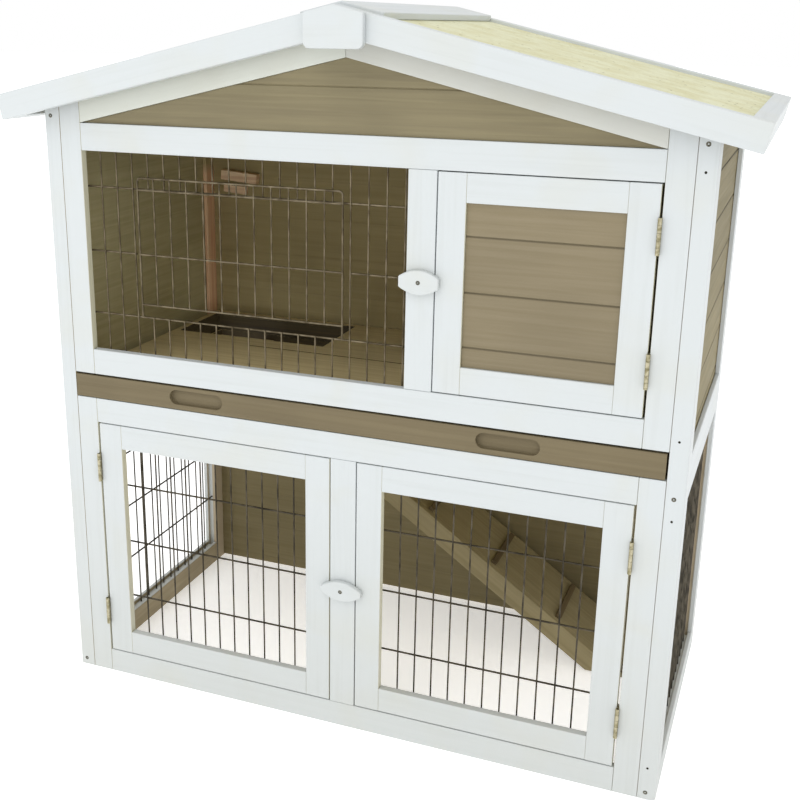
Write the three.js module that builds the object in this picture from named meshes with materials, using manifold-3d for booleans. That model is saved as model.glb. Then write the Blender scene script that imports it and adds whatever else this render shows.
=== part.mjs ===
// Two-storey rabbit hutch with a gable roof, in millimetres, +Z up.
// The origin is on the ground, under the middle of the overall box. The front faces -Y, the right side +X.
// Depths are written as a distance behind the front face of the body and turned into Y by depth().
import * as THREE from 'three';
import { mergeVertices } from 'three/addons/utils/BufferGeometryUtils.js';
import Module from 'manifold-3d';

const wasm = await Module();
wasm.setup();

// ---- driving dimensions -------------------------------------------------------------------------------
const BODY_WIDTH = 915;            // over the two side panels
const BODY_DEPTH = 455;            // front face to rear face of the body
const ROOF_PITCH = THREE.MathUtils.degToRad(13.3);

const FIT_GAP = 0.3;               // between pieces that touch
const SWING_GAP = 1.5;             // round a door leaf
const HINGE_GAP = 3;               // on a door's hinged side

const PANEL_THICK = 24;            // side panel frame, across X
const POST_WIDTH = 38;             // side panel posts, along Y
const FRAME_THICK = 12;            // front frames and doors, along Y
const RAIL_WIDTH = 38;             // rails and mullions of the front frames
const STILE_WIDTH = 33.2;          // stiles of the front frames
const MID_RAIL_WIDTH = 60;         // side panel's middle rail
const DOOR_RAIL_WIDTH = 37;        // all four members of a door frame

const CLAD_THICK = 10;             // tongue-and-groove boarding
const CLAD_PITCH = 66;             // cover width of one board
const INFILL_THICK = 7;            // boarding let into the gable and the nest door
const INFILL_RECESS = 4;           // its front behind the frame's front
const GROOVE = 1.5;                // depth and half width of the V between two boards
const HOUSING_DEPTH = 6;           // groove that holds boarding and wire in the side panels
const GABLE_JOINT_Z = 925;         // joint between the two gable boards
const NEST_BOARD_TOP = 42;         // uppermost board of the nest door, cut down to fit
const NEST_BOARD_PITCH = 72;

const LOWER_OPENING = 386;         // clear height of the lower storey's door openings
const TRAY_SLOT = 38;              // clear height of the slot between the storeys
const UPPER_OPENING = 290;         // clear height of the upper storey's openings
const UPPER_MULLION_X = 105;       // middle of the post between the wire window and the nest door

const FLOOR_THICK = 10;
const HATCH = { left: 14, length: 266, depth: 148, rear: 10 };  // off the side panel and the back boarding
const PARTITION_THICK = 10;
const DOORWAY = { width: 150, height: 210, sill: 20, rear: 58 };
const BATTEN = 20;                 // square batten that carries the ramp
const UPPER_BLOCK = { left: 22, length: 70, height: 17, thick: 14, z: 734 };
const LOWER_BLOCK = { left: 27, length: 42, height: 14, thick: 14, z: 714 };

const TRAY_FRONT_THICK = 18;
const TRAY_WALL = 10;
const TRAY_DECK = 6;               // the tray's flat deck, flush with the top of its runners
const TRAY_HEIGHT = 34;            // runners and deck together
const TRAY_TRAVEL_REST = 4;        // between the tray's back wall and the hutch's back boarding
const GRIP = { width: 86, height: 22, depth: 7, x: 230 };      // routed finger recesses in the tray front

const TRIM_WIDTH = 43;             // sloping boards over the gable boarding
const DECK_THICK = 10;
const FELT_THICK = 2.5;
const FASCIA_WIDTH = 35;
const FASCIA_THICK = 18;
const FASCIA_DROP = 17;            // fascia below the deck's underside, square to the slope
const EAVE_WIDTH = 25;
const EAVE_OVERHANG = 48;          // roof beyond the side panel, at the fascia's lower corner
const GABLE_OVERHANG = 33;         // roof beyond the front and rear faces
const CAP_HALF_WIDTH = 51;
const CAP_THICK = 9;
const BLOCK = { halfWidth: 39.5, drop: 52, thick: 10, corner: 8 };  // plate over the fascias' joint

const WIRE = 2.4;                  // upright wires of the grilles
const CROSS_WIRE = 2.8;            // level wires of the grilles
const WIRE_PITCH = 25.4;
const WELD = 0.6;                  // depth that crossing wires are sunk into each other
const GRILLE_LAP = 8;              // grille behind its frame, all round
const LEVEL_WIRES = 3;
const DOOR_LEVELS = { foot: 97, head: 102 };       // outer level wires, from the opening's bottom and top
const SIDE_LEVELS = { foot: 92, head: 109 };
const WINDOW_LEVELS = { foot: 53.5, head: 51.5 };
const WINDOW_WIRES = 19;
const WINDOW_FIRST_WIRE = 22;      // first upright wire, from the stile
const HATCHWAY = { first: 3, count: 12 };  // upright wires left out of the window grille
const WIRE_DOOR = { frame: 3, corner: 12, above: 19, bars: 11, foot: 18, lap: 10 };

const HINGE_LENGTH = 45;
const HINGE_RADIUS = 3.5;
const HINGE_LEAF = 0.9;
const HINGE_LEAF_DEPTH = 10;
const NEST_HINGE_INSET = 61;       // hinge middle from the door's top and bottom
const LOWER_HINGE_INSET = 70;

const BUTTON_THICK = 8;
const UPPER_BUTTON = { half: 27, rise: 16, end: 7, z: 685 };
const LOWER_BUTTON = { half: 31, rise: 15, end: 4, z: 225 };

const RAMP_SLOPE = THREE.MathUtils.degToRad(34.5);
const RAMP = { inset: 116, width: 140, side: 3, deck: 12, rail: 34, railThick: 12, pivotDrop: 5, start: 9, lift: 14 };
const CLEAT = { width: 9, height: 6, pitch: 134, first: 127, count: 6 };

// ---- what follows from them ---------------------------------------------------------------------------
const HALF_WIDTH = BODY_WIDTH / 2;
const PANEL_INNER = HALF_WIDTH - PANEL_THICK;
const STILE_INNER = PANEL_INNER - FIT_GAP - STILE_WIDTH;
const LOWER_DOOR_Z = RAIL_WIDTH;
const LOWER_RAIL_Z = LOWER_DOOR_Z + LOWER_OPENING;
const TRAY_Z = LOWER_RAIL_Z + RAIL_WIDTH;
const UPPER_RAIL_Z = TRAY_Z + TRAY_SLOT;
const UPPER_OPENING_Z = UPPER_RAIL_Z + RAIL_WIDTH;
const TOP_RAIL_Z = UPPER_OPENING_Z + UPPER_OPENING;
const EAVE_Z = TOP_RAIL_Z + RAIL_WIDTH;
const GRILLE_DEPTH = FRAME_THICK + FIT_GAP;
const BACK_FACE = BODY_DEPTH - 2;
const BACK_INNER = BACK_FACE - CLAD_THICK;
const CLAD_X = HALF_WIDTH - PANEL_THICK / 2;
const FLOOR_TOP = TRAY_Z - FIT_GAP - 0.2;
const FLOOR_BOTTOM = FLOOR_TOP - FLOOR_THICK;
const TRIM_FOOT_Z = EAVE_Z + STILE_INNER * Math.tan(ROOF_PITCH);     // trim's lower edge at the ridge
const RIDGE_Z = TRIM_FOOT_Z + (TRIM_WIDTH + FIT_GAP) / Math.cos(ROOF_PITCH);  // deck's underside there
const FRONT_Y = (BLOCK.thick - BODY_DEPTH) / 2;                      // body's front face

const depth = (distance) => FRONT_Y + distance;
// Height of a line parallel to the slope, lying `rise` above the deck's underside square to the slope.
const roofZ = (x, rise = 0) => RIDGE_Z + rise / Math.cos(ROOF_PITCH) - Math.abs(x) * Math.tan(ROOF_PITCH);

// ---- finishes -----------------------------------------------------------------------------------------
const finish = (color, roughness, metalness = 0) => () =>
  new THREE.MeshStandardMaterial({ color, roughness, metalness });
const whitePaint = finish('#e1e5e9', 0.5);
const taupeStain = finish('#8a7c62', 0.65);
const bareWood = finish('#a9795a', 0.75);
const mineralFelt = finish('#dedcc0', 0.95);
const darkWire = finish('#46453f', 0.45, 0.8);
const hingeSteel = finish('#8c8468', 0.4, 0.85);

const hutch = new THREE.Group();
function add(name, geometry, material) {
  const mesh = new THREE.Mesh(geometry, material());
  mesh.name = name;
  hutch.add(mesh);
  return mesh;
}

// ---- shape helpers ------------------------------------------------------------------------------------
const PLANES = {
  xz: [new THREE.Vector3(1, 0, 0), new THREE.Vector3(0, 0, 1), new THREE.Vector3(0, -1, 0)],
  yz: [new THREE.Vector3(0, 1, 0), new THREE.Vector3(0, 0, 1), new THREE.Vector3(1, 0, 0)],
  xy: [new THREE.Vector3(1, 0, 0), new THREE.Vector3(0, 1, 0), new THREE.Vector3(0, 0, 1)],
};

// Extrudes an outline drawn in a plane, from `from` to `to` along the axis square to it.
function extrude(outline, plane, from, to, curveSegments = 8) {
  const shape = outline instanceof THREE.Shape
    ? outline : new THREE.Shape(outline.map(([u, v]) => new THREE.Vector2(u, v)));
  const geometry = new THREE.ExtrudeGeometry(shape, { depth: to - from, bevelEnabled: false, curveSegments });
  const [u, v, w] = PLANES[plane];
  geometry.applyMatrix4(new THREE.Matrix4().makeBasis(u, v, w));
  const start = plane === 'xz' ? -to : from;
  return geometry.translate(w.x * start, w.y * start, w.z * start);
}

function box(x0, x1, y0, y1, z0, z1) {
  return new THREE.BoxGeometry(x1 - x0, y1 - y0, z1 - z0).translate((x0 + x1) / 2, (y0 + y1) / 2, (z0 + z1) / 2);
}

function solid(geometry) {
  const bare = geometry.clone();
  bare.deleteAttribute('normal');
  bare.deleteAttribute('uv');
  const merged = mergeVertices(bare, 1e-4);
  return new wasm.Manifold(new wasm.Mesh({
    numProp: 3,
    vertProperties: new Float32Array(merged.attributes.position.array),
    triVerts: new Uint32Array(merged.index.array),
  }));
}

function fromSolid(manifold) {
  const { vertProperties, triVerts } = manifold.getMesh();
  const geometry = new THREE.BufferGeometry();
  geometry.setAttribute('position', new THREE.BufferAttribute(vertProperties, 3));
  geometry.setIndex(new THREE.BufferAttribute(triVerts, 1));
  return geometry;
}

const join = (geometries) => fromSolid(geometries.map(solid).reduce((whole, next) => whole.add(next)));
const cut = (geometry, tools) => fromSolid(tools.map(solid).reduce((whole, next) => whole.subtract(next), solid(geometry)));
const common = (geometry, other) => fromSolid(solid(geometry).intersect(solid(other)));

// Outline of boarding seen end-on: thickness t0 to t1 across, z0 to z1 up, a V on both faces at each joint.
function boarding(t0, t1, z0, z1, joints) {
  const inside = joints.filter((z) => z > z0 + 2 * GROOVE && z < z1 - 2 * GROOVE).sort((a, b) => a - b);
  const up = inside.flatMap((z) => [[t1, z - GROOVE], [t1 - GROOVE, z], [t1, z + GROOVE]]);
  const down = inside.toReversed().flatMap((z) => [[t0, z + GROOVE], [t0 + GROOVE, z], [t0, z - GROOVE]]);
  return [[t0, z0], [t1, z0], ...up, [t1, z1], [t0, z1], ...down];
}

const jointsDownFrom = (top, pitch) => Array.from({ length: 20 }, (_, i) => top - pitch * (i + 1));

// A welded grille in the XZ plane whose front is at `front`: upright wires, then level wires behind them.
function grille(xs, zs, x0, x1, z0, z1, front) {
  const back = front + WIRE - WELD;
  return [
    ...xs.map((x) => box(x - WIRE / 2, x + WIRE / 2, front, front + WIRE, z0, z1)),
    ...zs.map((z) => box(x0, x1, back, back + CROSS_WIRE, z - CROSS_WIRE / 2, z + CROSS_WIRE / 2)),
  ];
}

const row = (first, pitch, count) => Array.from({ length: count }, (_, i) => first + pitch * i);

// Heights of a grille's level wires in an opening, evenly spaced between the lowest and the highest.
function levels(z0, z1, { foot, head }) {
  return row(z0 + foot, (z1 - head - z0 - foot) / (LEVEL_WIRES - 1), LEVEL_WIRES);
}

// ---- side panels --------------------------------------------------------------------------------------
function sidePanel(side, name) {
  const middle = side * CLAD_X;
  const half = PANEL_THICK / 2;
  const housing = CLAD_THICK / 2 + FIT_GAP;
  const top = roofZ(HALF_WIDTH, -FIT_GAP);
  const postTop = roofZ(CLAD_X, -FIT_GAP) - half * Math.tan(ROOF_PITCH);
  const midZ = TRAY_Z + 25 - MID_RAIL_WIDTH;
  const railFrom = depth(POST_WIDTH) + FIT_GAP;
  const railTo = depth(BODY_DEPTH - POST_WIDTH) - FIT_GAP;

  // A post seen from above: a plain rectangle with the housing open towards the middle of the panel.
  const post = (edge, inward) => {
    const inner = edge + inward * POST_WIDTH;
    const floor = inner - inward * HOUSING_DEPTH;
    const points = [[middle - half, edge], [middle + half, edge], [middle + half, inner],
      [middle + housing, inner], [middle + housing, floor], [middle - housing, floor],
      [middle - housing, inner], [middle - half, inner]];
    return extrude(points, 'xy', 0, postTop);
  };
  add(`${name}_front_post`, post(depth(0), 1), whitePaint);
  add(`${name}_rear_post`, post(depth(BODY_DEPTH), -1), whitePaint);

  // Rails seen end-on, with the housing in the edge that faces the boarding or the wire.
  const rail = (z0, z1, lowHousing, highHousing) => {
    const low = lowHousing
      ? [[middle - housing, z0], [middle - housing, z0 + HOUSING_DEPTH], [middle + housing, z0 + HOUSING_DEPTH],
        [middle + housing, z0]] : [];
    const high = highHousing
      ? [[middle + housing, z1], [middle + housing, z1 - HOUSING_DEPTH], [middle - housing, z1 - HOUSING_DEPTH],
        [middle - housing, z1]] : [];
    const points = [[middle - half, z0], ...low, [middle + half, z0], [middle + half, z1], ...high,
      [middle - half, z1]];
    return extrude(points, 'xz', railFrom, railTo);
  };
  add(`${name}_bottom_rail`, rail(0, RAIL_WIDTH, false, true), whitePaint);
  add(`${name}_mid_rail`, rail(midZ, midZ + MID_RAIL_WIDTH, true, true), whitePaint);

  const reach = HOUSING_DEPTH - FIT_GAP;
  const cladZ = midZ + MID_RAIL_WIDTH - reach;
  const outline = boarding(middle - CLAD_THICK / 2, middle + CLAD_THICK / 2, cladZ, top,
    jointsDownFrom(top, CLAD_PITCH));
  add(`${name}_cladding`, extrude(outline, 'xz', depth(POST_WIDTH) - reach, depth(BODY_DEPTH - POST_WIDTH) + reach),
    taupeStain);

  // The wire stands in the same housings, its upright wires towards the outside.
  const clear = BODY_DEPTH - 2 * POST_WIDTH;
  const count = Math.floor(clear / WIRE_PITCH);
  const first = -((count - 1) * WIRE_PITCH) / 2;
  const half0 = clear / 2 + reach;
  const wires = grille(row(first, WIRE_PITCH, count), levels(RAIL_WIDTH, midZ, SIDE_LEVELS), -half0, half0,
    RAIL_WIDTH - reach, midZ + reach, -WIRE);
  const panelMesh = join(wires).rotateZ(side * Math.PI / 2);
  add(`${name}_mesh`, panelMesh.translate(middle, depth(BODY_DEPTH / 2), 0), darkWire);
}

// ---- front frames -------------------------------------------------------------------------------------
function frontFrames() {
  const f0 = depth(0);
  const f1 = depth(FRAME_THICK);
  const stileOuter = PANEL_INNER - FIT_GAP;
  const halfRail = RAIL_WIDTH / 2;
  const inner = STILE_INNER - FIT_GAP;

  for (const [side, name] of [[-1, 'left'], [1, 'right']]) {
    const xs = [side * STILE_INNER, side * stileOuter].sort((a, b) => a - b);
    add(`lower_${name}_stile`, box(...xs, f0, f1, 0, TRAY_Z - FIT_GAP), whitePaint);
    const upper = [[xs[0], UPPER_RAIL_Z], [xs[1], UPPER_RAIL_Z], [xs[1], roofZ(xs[1], -FIT_GAP)],
      [xs[0], roofZ(xs[0], -FIT_GAP)]];
    add(`upper_${name}_stile`, extrude(upper, 'xz', f0, f1), whitePaint);
  }
  add('lower_bottom_rail', box(-inner, inner, f0, f1, 0, RAIL_WIDTH), whitePaint);
  add('lower_top_rail', box(-inner, inner, f0, f1, LOWER_RAIL_Z, TRAY_Z - FIT_GAP), whitePaint);
  add('lower_mullion', box(-halfRail, halfRail, f0, f1, RAIL_WIDTH + FIT_GAP, LOWER_RAIL_Z - FIT_GAP), whitePaint);
  add('upper_bottom_rail', box(-inner, inner, f0, f1, UPPER_RAIL_Z, UPPER_OPENING_Z), whitePaint);
  add('upper_top_rail', box(-inner, inner, f0, f1, TOP_RAIL_Z, EAVE_Z), whitePaint);
  add('upper_mullion', box(UPPER_MULLION_X - halfRail, UPPER_MULLION_X + halfRail, f0, f1,
    UPPER_OPENING_Z + FIT_GAP, TOP_RAIL_Z - FIT_GAP), whitePaint);
}

function gable() {
  const f0 = depth(0);
  const f1 = depth(FRAME_THICK);
  const inner = STILE_INNER - FIT_GAP;
  for (const [side, name] of [[-1, 'left'], [1, 'right']]) {
    const a = side * FIT_GAP / 2;
    const b = side * inner;
    const foot = (x) => Math.max(roofZ(x, -TRIM_WIDTH), EAVE_Z + FIT_GAP);
    const points = [[a, foot(a)], [b, foot(b)], [b, roofZ(b, -FIT_GAP)], [a, roofZ(a, -FIT_GAP)]];
    add(`gable_trim_${name}`, extrude(side > 0 ? points : points.toReversed(), 'xz', f0, f1), whitePaint);
  }
  const outline = boarding(depth(INFILL_RECESS), depth(INFILL_RECESS + INFILL_THICK), EAVE_Z + FIT_GAP, RIDGE_Z,
    [GABLE_JOINT_Z]);
  const reach = (RIDGE_Z - EAVE_Z) / Math.tan(ROOF_PITCH);
  const apex = roofZ(0, -TRIM_WIDTH - FIT_GAP);
  const foot = EAVE_Z + FIT_GAP;
  const run = (apex - foot) / Math.tan(ROOF_PITCH);
  const triangle = extrude([[-run, foot], [run, foot], [0, apex]], 'xz', f0, f1);
  add('gable_panel', common(extrude(outline, 'yz', -reach, reach), triangle), taupeStain);
}

// Upright wires of the window grille, and the clear way through it that the wire door covers.
const windowWires = row(-STILE_INNER + WINDOW_FIRST_WIRE, WIRE_PITCH, WINDOW_WIRES);
const windowLevels = levels(UPPER_OPENING_Z, TOP_RAIL_Z, WINDOW_LEVELS);
const hatchway = {
  x0: windowWires[HATCHWAY.first - 1] + WIRE / 2,
  x1: windowWires[HATCHWAY.first + HATCHWAY.count] - WIRE / 2,
  z0: windowLevels[0] + CROSS_WIRE / 2,
  z1: windowLevels.at(-1) - CROSS_WIRE / 2,
};

function windowGrille() {
  const x0 = -STILE_INNER - GRILLE_LAP;
  const x1 = UPPER_MULLION_X - RAIL_WIDTH / 2 + GRILLE_LAP;
  const front = depth(GRILLE_DEPTH);
  const wires = grille(windowWires, windowLevels, x0, x1,
    UPPER_OPENING_Z - GRILLE_LAP, TOP_RAIL_Z + GRILLE_LAP, front);
  const way = box(hatchway.x0, hatchway.x1, front - 1, front + 2 * CROSS_WIRE, hatchway.z0, hatchway.z1);
  add('window_mesh', cut(join(wires), [way]), darkWire);
}

// Wire door in front of the way through the grille. Its feet stand over the grille's lowest level wire.
function wireDoor() {
  const { frame, corner, above, bars, foot, lap } = WIRE_DOOR;
  const x0 = hatchway.x0 + lap - frame;
  const x1 = hatchway.x1 - lap + frame;
  const z0 = hatchway.z0 + 1;
  const z1 = hatchway.z1 + above;
  const y1 = depth(FRAME_THICK) - FIT_GAP;
  const y0 = y1 - frame;
  const rim = new THREE.Shape();
  rim.moveTo(x0, z0).lineTo(x1, z0).lineTo(x1, z1 - corner);
  rim.absarc(x1 - corner, z1 - corner, corner, 0, Math.PI / 2);
  rim.lineTo(x0 + corner, z1).absarc(x0 + corner, z1 - corner, corner, Math.PI / 2, Math.PI);
  const hole = new THREE.Path();
  const radius = corner - frame;
  hole.moveTo(x0 + frame, z0 - 1).lineTo(x1 - frame, z0 - 1).lineTo(x1 - frame, z1 - corner);
  hole.absarc(x1 - corner, z1 - corner, radius, 0, Math.PI / 2);
  hole.lineTo(x0 + corner, z1 - frame).absarc(x0 + corner, z1 - corner, radius, Math.PI / 2, Math.PI);
  const hoop = new THREE.Shape([...rim.getPoints(5)]);
  const inside = new THREE.Shape([...hole.getPoints(5)]);
  const pitch = (x1 - x0 - frame) / (bars + 1);
  const heights = [z0 + foot, z0 + foot + (z1 - z0 - foot) * 0.4, z1 - foot];
  const uprights = row(x0 + frame / 2 + pitch, pitch, bars)
    .map((x) => box(x - WIRE / 2, x + WIRE / 2, y0 + WELD / 2, y0 + WELD / 2 + WIRE, z0 + foot, z1 - frame / 2));
  const rails = heights.map((z) => box(x0 + frame / 2, x1 - frame / 2, y0, y1, z - frame / 2, z + frame / 2));
  const ring = cut(extrude(hoop, 'xz', y0, y1, 5), [extrude(inside, 'xz', y0 - 1, y1 + 1, 5)]);
  add('wire_door', join([ring, ...rails, ...uprights]), darkWire);
}

// ---- boarding, floor and inside -----------------------------------------------------------------------
function backPanel() {
  const edge = PANEL_INNER - FIT_GAP;
  const foot = 3;
  const outline = boarding(depth(BACK_INNER), depth(BACK_FACE), foot, RIDGE_Z, jointsDownFrom(RIDGE_Z, CLAD_PITCH));
  const shape = [[-edge, foot], [edge, foot], [edge, roofZ(edge, -FIT_GAP)], [0, roofZ(0, -FIT_GAP)],
    [-edge, roofZ(edge, -FIT_GAP)]];
  const limits = extrude(shape, 'xz', depth(BACK_INNER) - 1, depth(BACK_FACE) + 1);
  add('back_panel', common(extrude(outline, 'yz', -edge, edge), limits), taupeStain);
}

const hatch = {
  x0: -PANEL_INNER + HATCH.left,
  x1: -PANEL_INNER + HATCH.left + HATCH.length,
  y0: depth(BACK_INNER - HATCH.rear - HATCH.depth),
  y1: depth(BACK_INNER - HATCH.rear),
};
// Middle line of the ramp's pivot, on the right-hand face of the batten that carries it.
const rampPivot = { x: hatch.x0 + RAMP.inset, z: FLOOR_BOTTOM - RAMP.pivotDrop };

function upperFloor() {
  const edge = PANEL_INNER - FIT_GAP;
  const rear = depth(BACK_INNER) - FIT_GAP;
  const sheet = box(-edge, edge, depth(FRAME_THICK) + FIT_GAP, rear, FLOOR_BOTTOM, FLOOR_TOP);
  const hole = box(hatch.x0, hatch.x1, hatch.y0, hatch.y1, FLOOR_BOTTOM - 1, FLOOR_TOP + 1);
  const carrier = box(rampPivot.x - BATTEN - RAMP.start, rampPivot.x - RAMP.start, hatch.y0 - BATTEN, rear,
    FLOOR_BOTTOM - BATTEN, FLOOR_BOTTOM + WELD);
  add('upper_floor', join([cut(sheet, [hole]), carrier]), taupeStain);
}

// Two offcuts of bare wood fixed to the back boarding, near the rear left corner.
function wallBlocks() {
  const rear = depth(BACK_INNER) - FIT_GAP;
  for (const [name, block] of [['upper', UPPER_BLOCK], ['lower', LOWER_BLOCK]]) {
    const x0 = -PANEL_INNER + block.left;
    add(`${name}_wall_block`, box(x0, x0 + block.length, rear - block.thick, rear, block.z, block.z + block.height),
      bareWood);
  }
}

function nestPartition() {
  const x = UPPER_MULLION_X;
  const z0 = UPPER_RAIL_Z + FIT_GAP;
  const shape = new THREE.Shape([
    [depth(GRILLE_DEPTH) + 2 * CROSS_WIRE, z0], [depth(BACK_INNER) - FIT_GAP, z0],
    [depth(BACK_INNER) - FIT_GAP, roofZ(x + PARTITION_THICK, -2)],
    [depth(GRILLE_DEPTH) + 2 * CROSS_WIRE, roofZ(x + PARTITION_THICK, -2)],
  ].map(([u, v]) => new THREE.Vector2(u, v)));
  const door = new THREE.Path();
  const b = depth(BACK_INNER - DOORWAY.rear);
  const a = b - DOORWAY.width;
  const spring = z0 + DOORWAY.sill + DOORWAY.height - DOORWAY.width / 2;
  door.moveTo(a, z0 + DOORWAY.sill).lineTo(b, z0 + DOORWAY.sill).lineTo(b, spring);
  door.absarc((a + b) / 2, spring, DOORWAY.width / 2, 0, Math.PI);
  shape.holes.push(door);
  add('nest_partition', extrude(shape, 'yz', x - PARTITION_THICK / 2, x + PARTITION_THICK / 2, 6), taupeStain);
}

// ---- roof ---------------------------------------------------------------------------------------------
function roof() {
  const sin = Math.sin(ROOF_PITCH);
  const cos = Math.cos(ROOF_PITCH);
  const run = (HALF_WIDTH + EAVE_OVERHANG + FASCIA_DROP * sin) / cos;   // ridge to roof edge, along the slope
  // A point on one slope: `along` from the ridge line, `rise` above the deck's underside.
  const at = (side, along, rise) => [side * (along * cos + rise * sin), RIDGE_Z - along * sin + rise * cos];
  const layer = (side, from, to, low, high) => {
    const start = (rise) => (from === 0 ? (FIT_GAP / 2 - rise * sin) / cos : from);
    const points = [at(side, start(low), low), at(side, to, low), at(side, to, high), at(side, start(high), high)];
    return side > 0 ? points : points.toReversed();
  };
  const y0 = depth(-GABLE_OVERHANG);
  const y1 = depth(BODY_DEPTH + GABLE_OVERHANG);
  const yIn0 = y0 + FASCIA_THICK + FIT_GAP;
  const yIn1 = y1 - FASCIA_THICK - FIT_GAP;
  const top = FASCIA_WIDTH - FASCIA_DROP;
  const sheetEnd = run - EAVE_WIDTH - FIT_GAP;

  for (const [side, name] of [[-1, 'left'], [1, 'right']]) {
    const fascia = layer(side, 0, run, -FASCIA_DROP, top);
    add(`front_fascia_${name}`, extrude(fascia, 'xz', y0, y0 + FASCIA_THICK), whitePaint);
    add(`rear_fascia_${name}`, extrude(fascia, 'xz', y1 - FASCIA_THICK, y1), whitePaint);
    add(`eave_board_${name}`, extrude(layer(side, run - EAVE_WIDTH, run, -FASCIA_DROP, top), 'xz', yIn0, yIn1),
      whitePaint);
    add(`roof_deck_${name}`, extrude(layer(side, 0, sheetEnd, 0, DECK_THICK), 'xz', yIn0, yIn1), taupeStain);
  }

  // A sheet bent over the ridge, `reach` down each slope.
  const saddle = (reach, low, high) => [
    at(-1, reach, low), [0, roofZ(0, low)], at(1, reach, low),
    at(1, reach, high), [0, roofZ(0, high)], at(-1, reach, high),
  ];
  const feltLow = DECK_THICK + FIT_GAP;
  add('roof_felt', extrude(saddle(sheetEnd, feltLow, feltLow + FELT_THICK), 'xz', yIn0, yIn1), mineralFelt);
  const capLow = feltLow + FELT_THICK + FIT_GAP;
  add('ridge_cap', extrude(saddle(CAP_HALF_WIDTH / cos, capLow, capLow + CAP_THICK), 'xz', yIn0, yIn1), whitePaint);

  // The plate over the front joint has two sloping shoulders and two rounded lower corners.
  const { halfWidth, drop, thick, corner } = BLOCK;
  const apex = roofZ(0, top);
  const foot = apex - drop;
  const plate = new THREE.Shape();
  plate.moveTo(-halfWidth + corner, foot).lineTo(halfWidth - corner, foot);
  plate.absarc(halfWidth - corner, foot + corner, corner, -Math.PI / 2, 0);
  plate.lineTo(halfWidth, roofZ(halfWidth, top)).lineTo(0, apex).lineTo(-halfWidth, roofZ(halfWidth, top));
  plate.absarc(-halfWidth + corner, foot + corner, corner, Math.PI, 1.5 * Math.PI);
  add('ridge_block', extrude(plate, 'xz', y0 - FIT_GAP - thick, y0 - FIT_GAP, 4), whitePaint);
}

// ---- doors --------------------------------------------------------------------------------------------
// A butt hinge: a barrel proud of the front face and a leaf let into the gap beside the fixed stile.
function hinge(name, seam, side, z) {
  const y = depth(0) - HINGE_RADIUS - 0.5;
  const barrel = new THREE.CylinderGeometry(HINGE_RADIUS, HINGE_RADIUS, HINGE_LENGTH, 12).rotateX(Math.PI / 2);
  const x0 = seam + side * (HINGE_GAP / 2 - FIT_GAP);
  const xs = [x0, x0 - side * HINGE_LEAF].sort((a, b) => a - b);
  const leaf = box(...xs, y, depth(HINGE_LEAF_DEPTH), z - HINGE_LENGTH / 2, z + HINGE_LENGTH / 2);
  add(name, join([barrel.translate(seam, y, z), leaf]), hingeSteel);
}

function frameOutline(x0, x1, z0, z1, member) {
  const ring = new THREE.Shape([[x0, z0], [x1, z0], [x1, z1], [x0, z1]].map(([u, v]) => new THREE.Vector2(u, v)));
  ring.holes.push(new THREE.Path([[x0 + member, z0 + member], [x0 + member, z1 - member],
    [x1 - member, z1 - member], [x1 - member, z0 + member]].map(([u, v]) => new THREE.Vector2(u, v))));
  return ring;
}

function lowerDoor(side, name) {
  const seam = side * (STILE_INNER - HINGE_GAP / 2);
  const free = side * (RAIL_WIDTH / 2 + SWING_GAP);
  const [x0, x1] = [free, side * (STILE_INNER - HINGE_GAP)].sort((a, b) => a - b);
  const [z0, z1] = [LOWER_DOOR_Z + SWING_GAP, LOWER_RAIL_Z - SWING_GAP];
  add(`${name}_door_frame`, extrude(frameOutline(x0, x1, z0, z1, DOOR_RAIL_WIDTH), 'xz', depth(0),
    depth(FRAME_THICK)), whitePaint);

  const clear = x1 - x0 - 2 * DOOR_RAIL_WIDTH;
  const count = Math.floor(clear / WIRE_PITCH);
  const middle = (x0 + x1) / 2;
  const reach = clear / 2 + GRILLE_LAP;
  const wires = grille(row(middle - ((count - 1) * WIRE_PITCH) / 2, WIRE_PITCH, count),
    levels(LOWER_DOOR_Z, LOWER_RAIL_Z, DOOR_LEVELS), middle - reach, middle + reach,
    z0 + DOOR_RAIL_WIDTH - GRILLE_LAP, z1 - DOOR_RAIL_WIDTH + GRILLE_LAP, depth(GRILLE_DEPTH));
  add(`${name}_door_mesh`, join(wires), darkWire);
  hinge(`${name}_door_upper_hinge`, seam, side, z1 - LOWER_HINGE_INSET);
  hinge(`${name}_door_lower_hinge`, seam, side, z0 + LOWER_HINGE_INSET);
}

function nestDoor() {
  const seam = STILE_INNER - HINGE_GAP / 2;
  const x0 = UPPER_MULLION_X + RAIL_WIDTH / 2 + SWING_GAP;
  const x1 = STILE_INNER - HINGE_GAP;
  const [z0, z1] = [UPPER_OPENING_Z + SWING_GAP, TOP_RAIL_Z - SWING_GAP];
  add('nest_door_frame', extrude(frameOutline(x0, x1, z0, z1, DOOR_RAIL_WIDTH), 'xz', depth(0),
    depth(FRAME_THICK)), whitePaint);
  const inset = DOOR_RAIL_WIDTH + FIT_GAP;
  const top = z1 - inset;
  const outline = boarding(depth(INFILL_RECESS), depth(INFILL_RECESS + INFILL_THICK), z0 + inset, top,
    row(top - NEST_BOARD_TOP, -NEST_BOARD_PITCH, 3));
  add('nest_door_panel', extrude(outline, 'yz', x0 + inset, x1 - inset), taupeStain);
  hinge('nest_door_upper_hinge', seam, 1, z1 - NEST_HINGE_INSET);
  hinge('nest_door_lower_hinge', seam, 1, z0 + NEST_HINGE_INSET);
}

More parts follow.
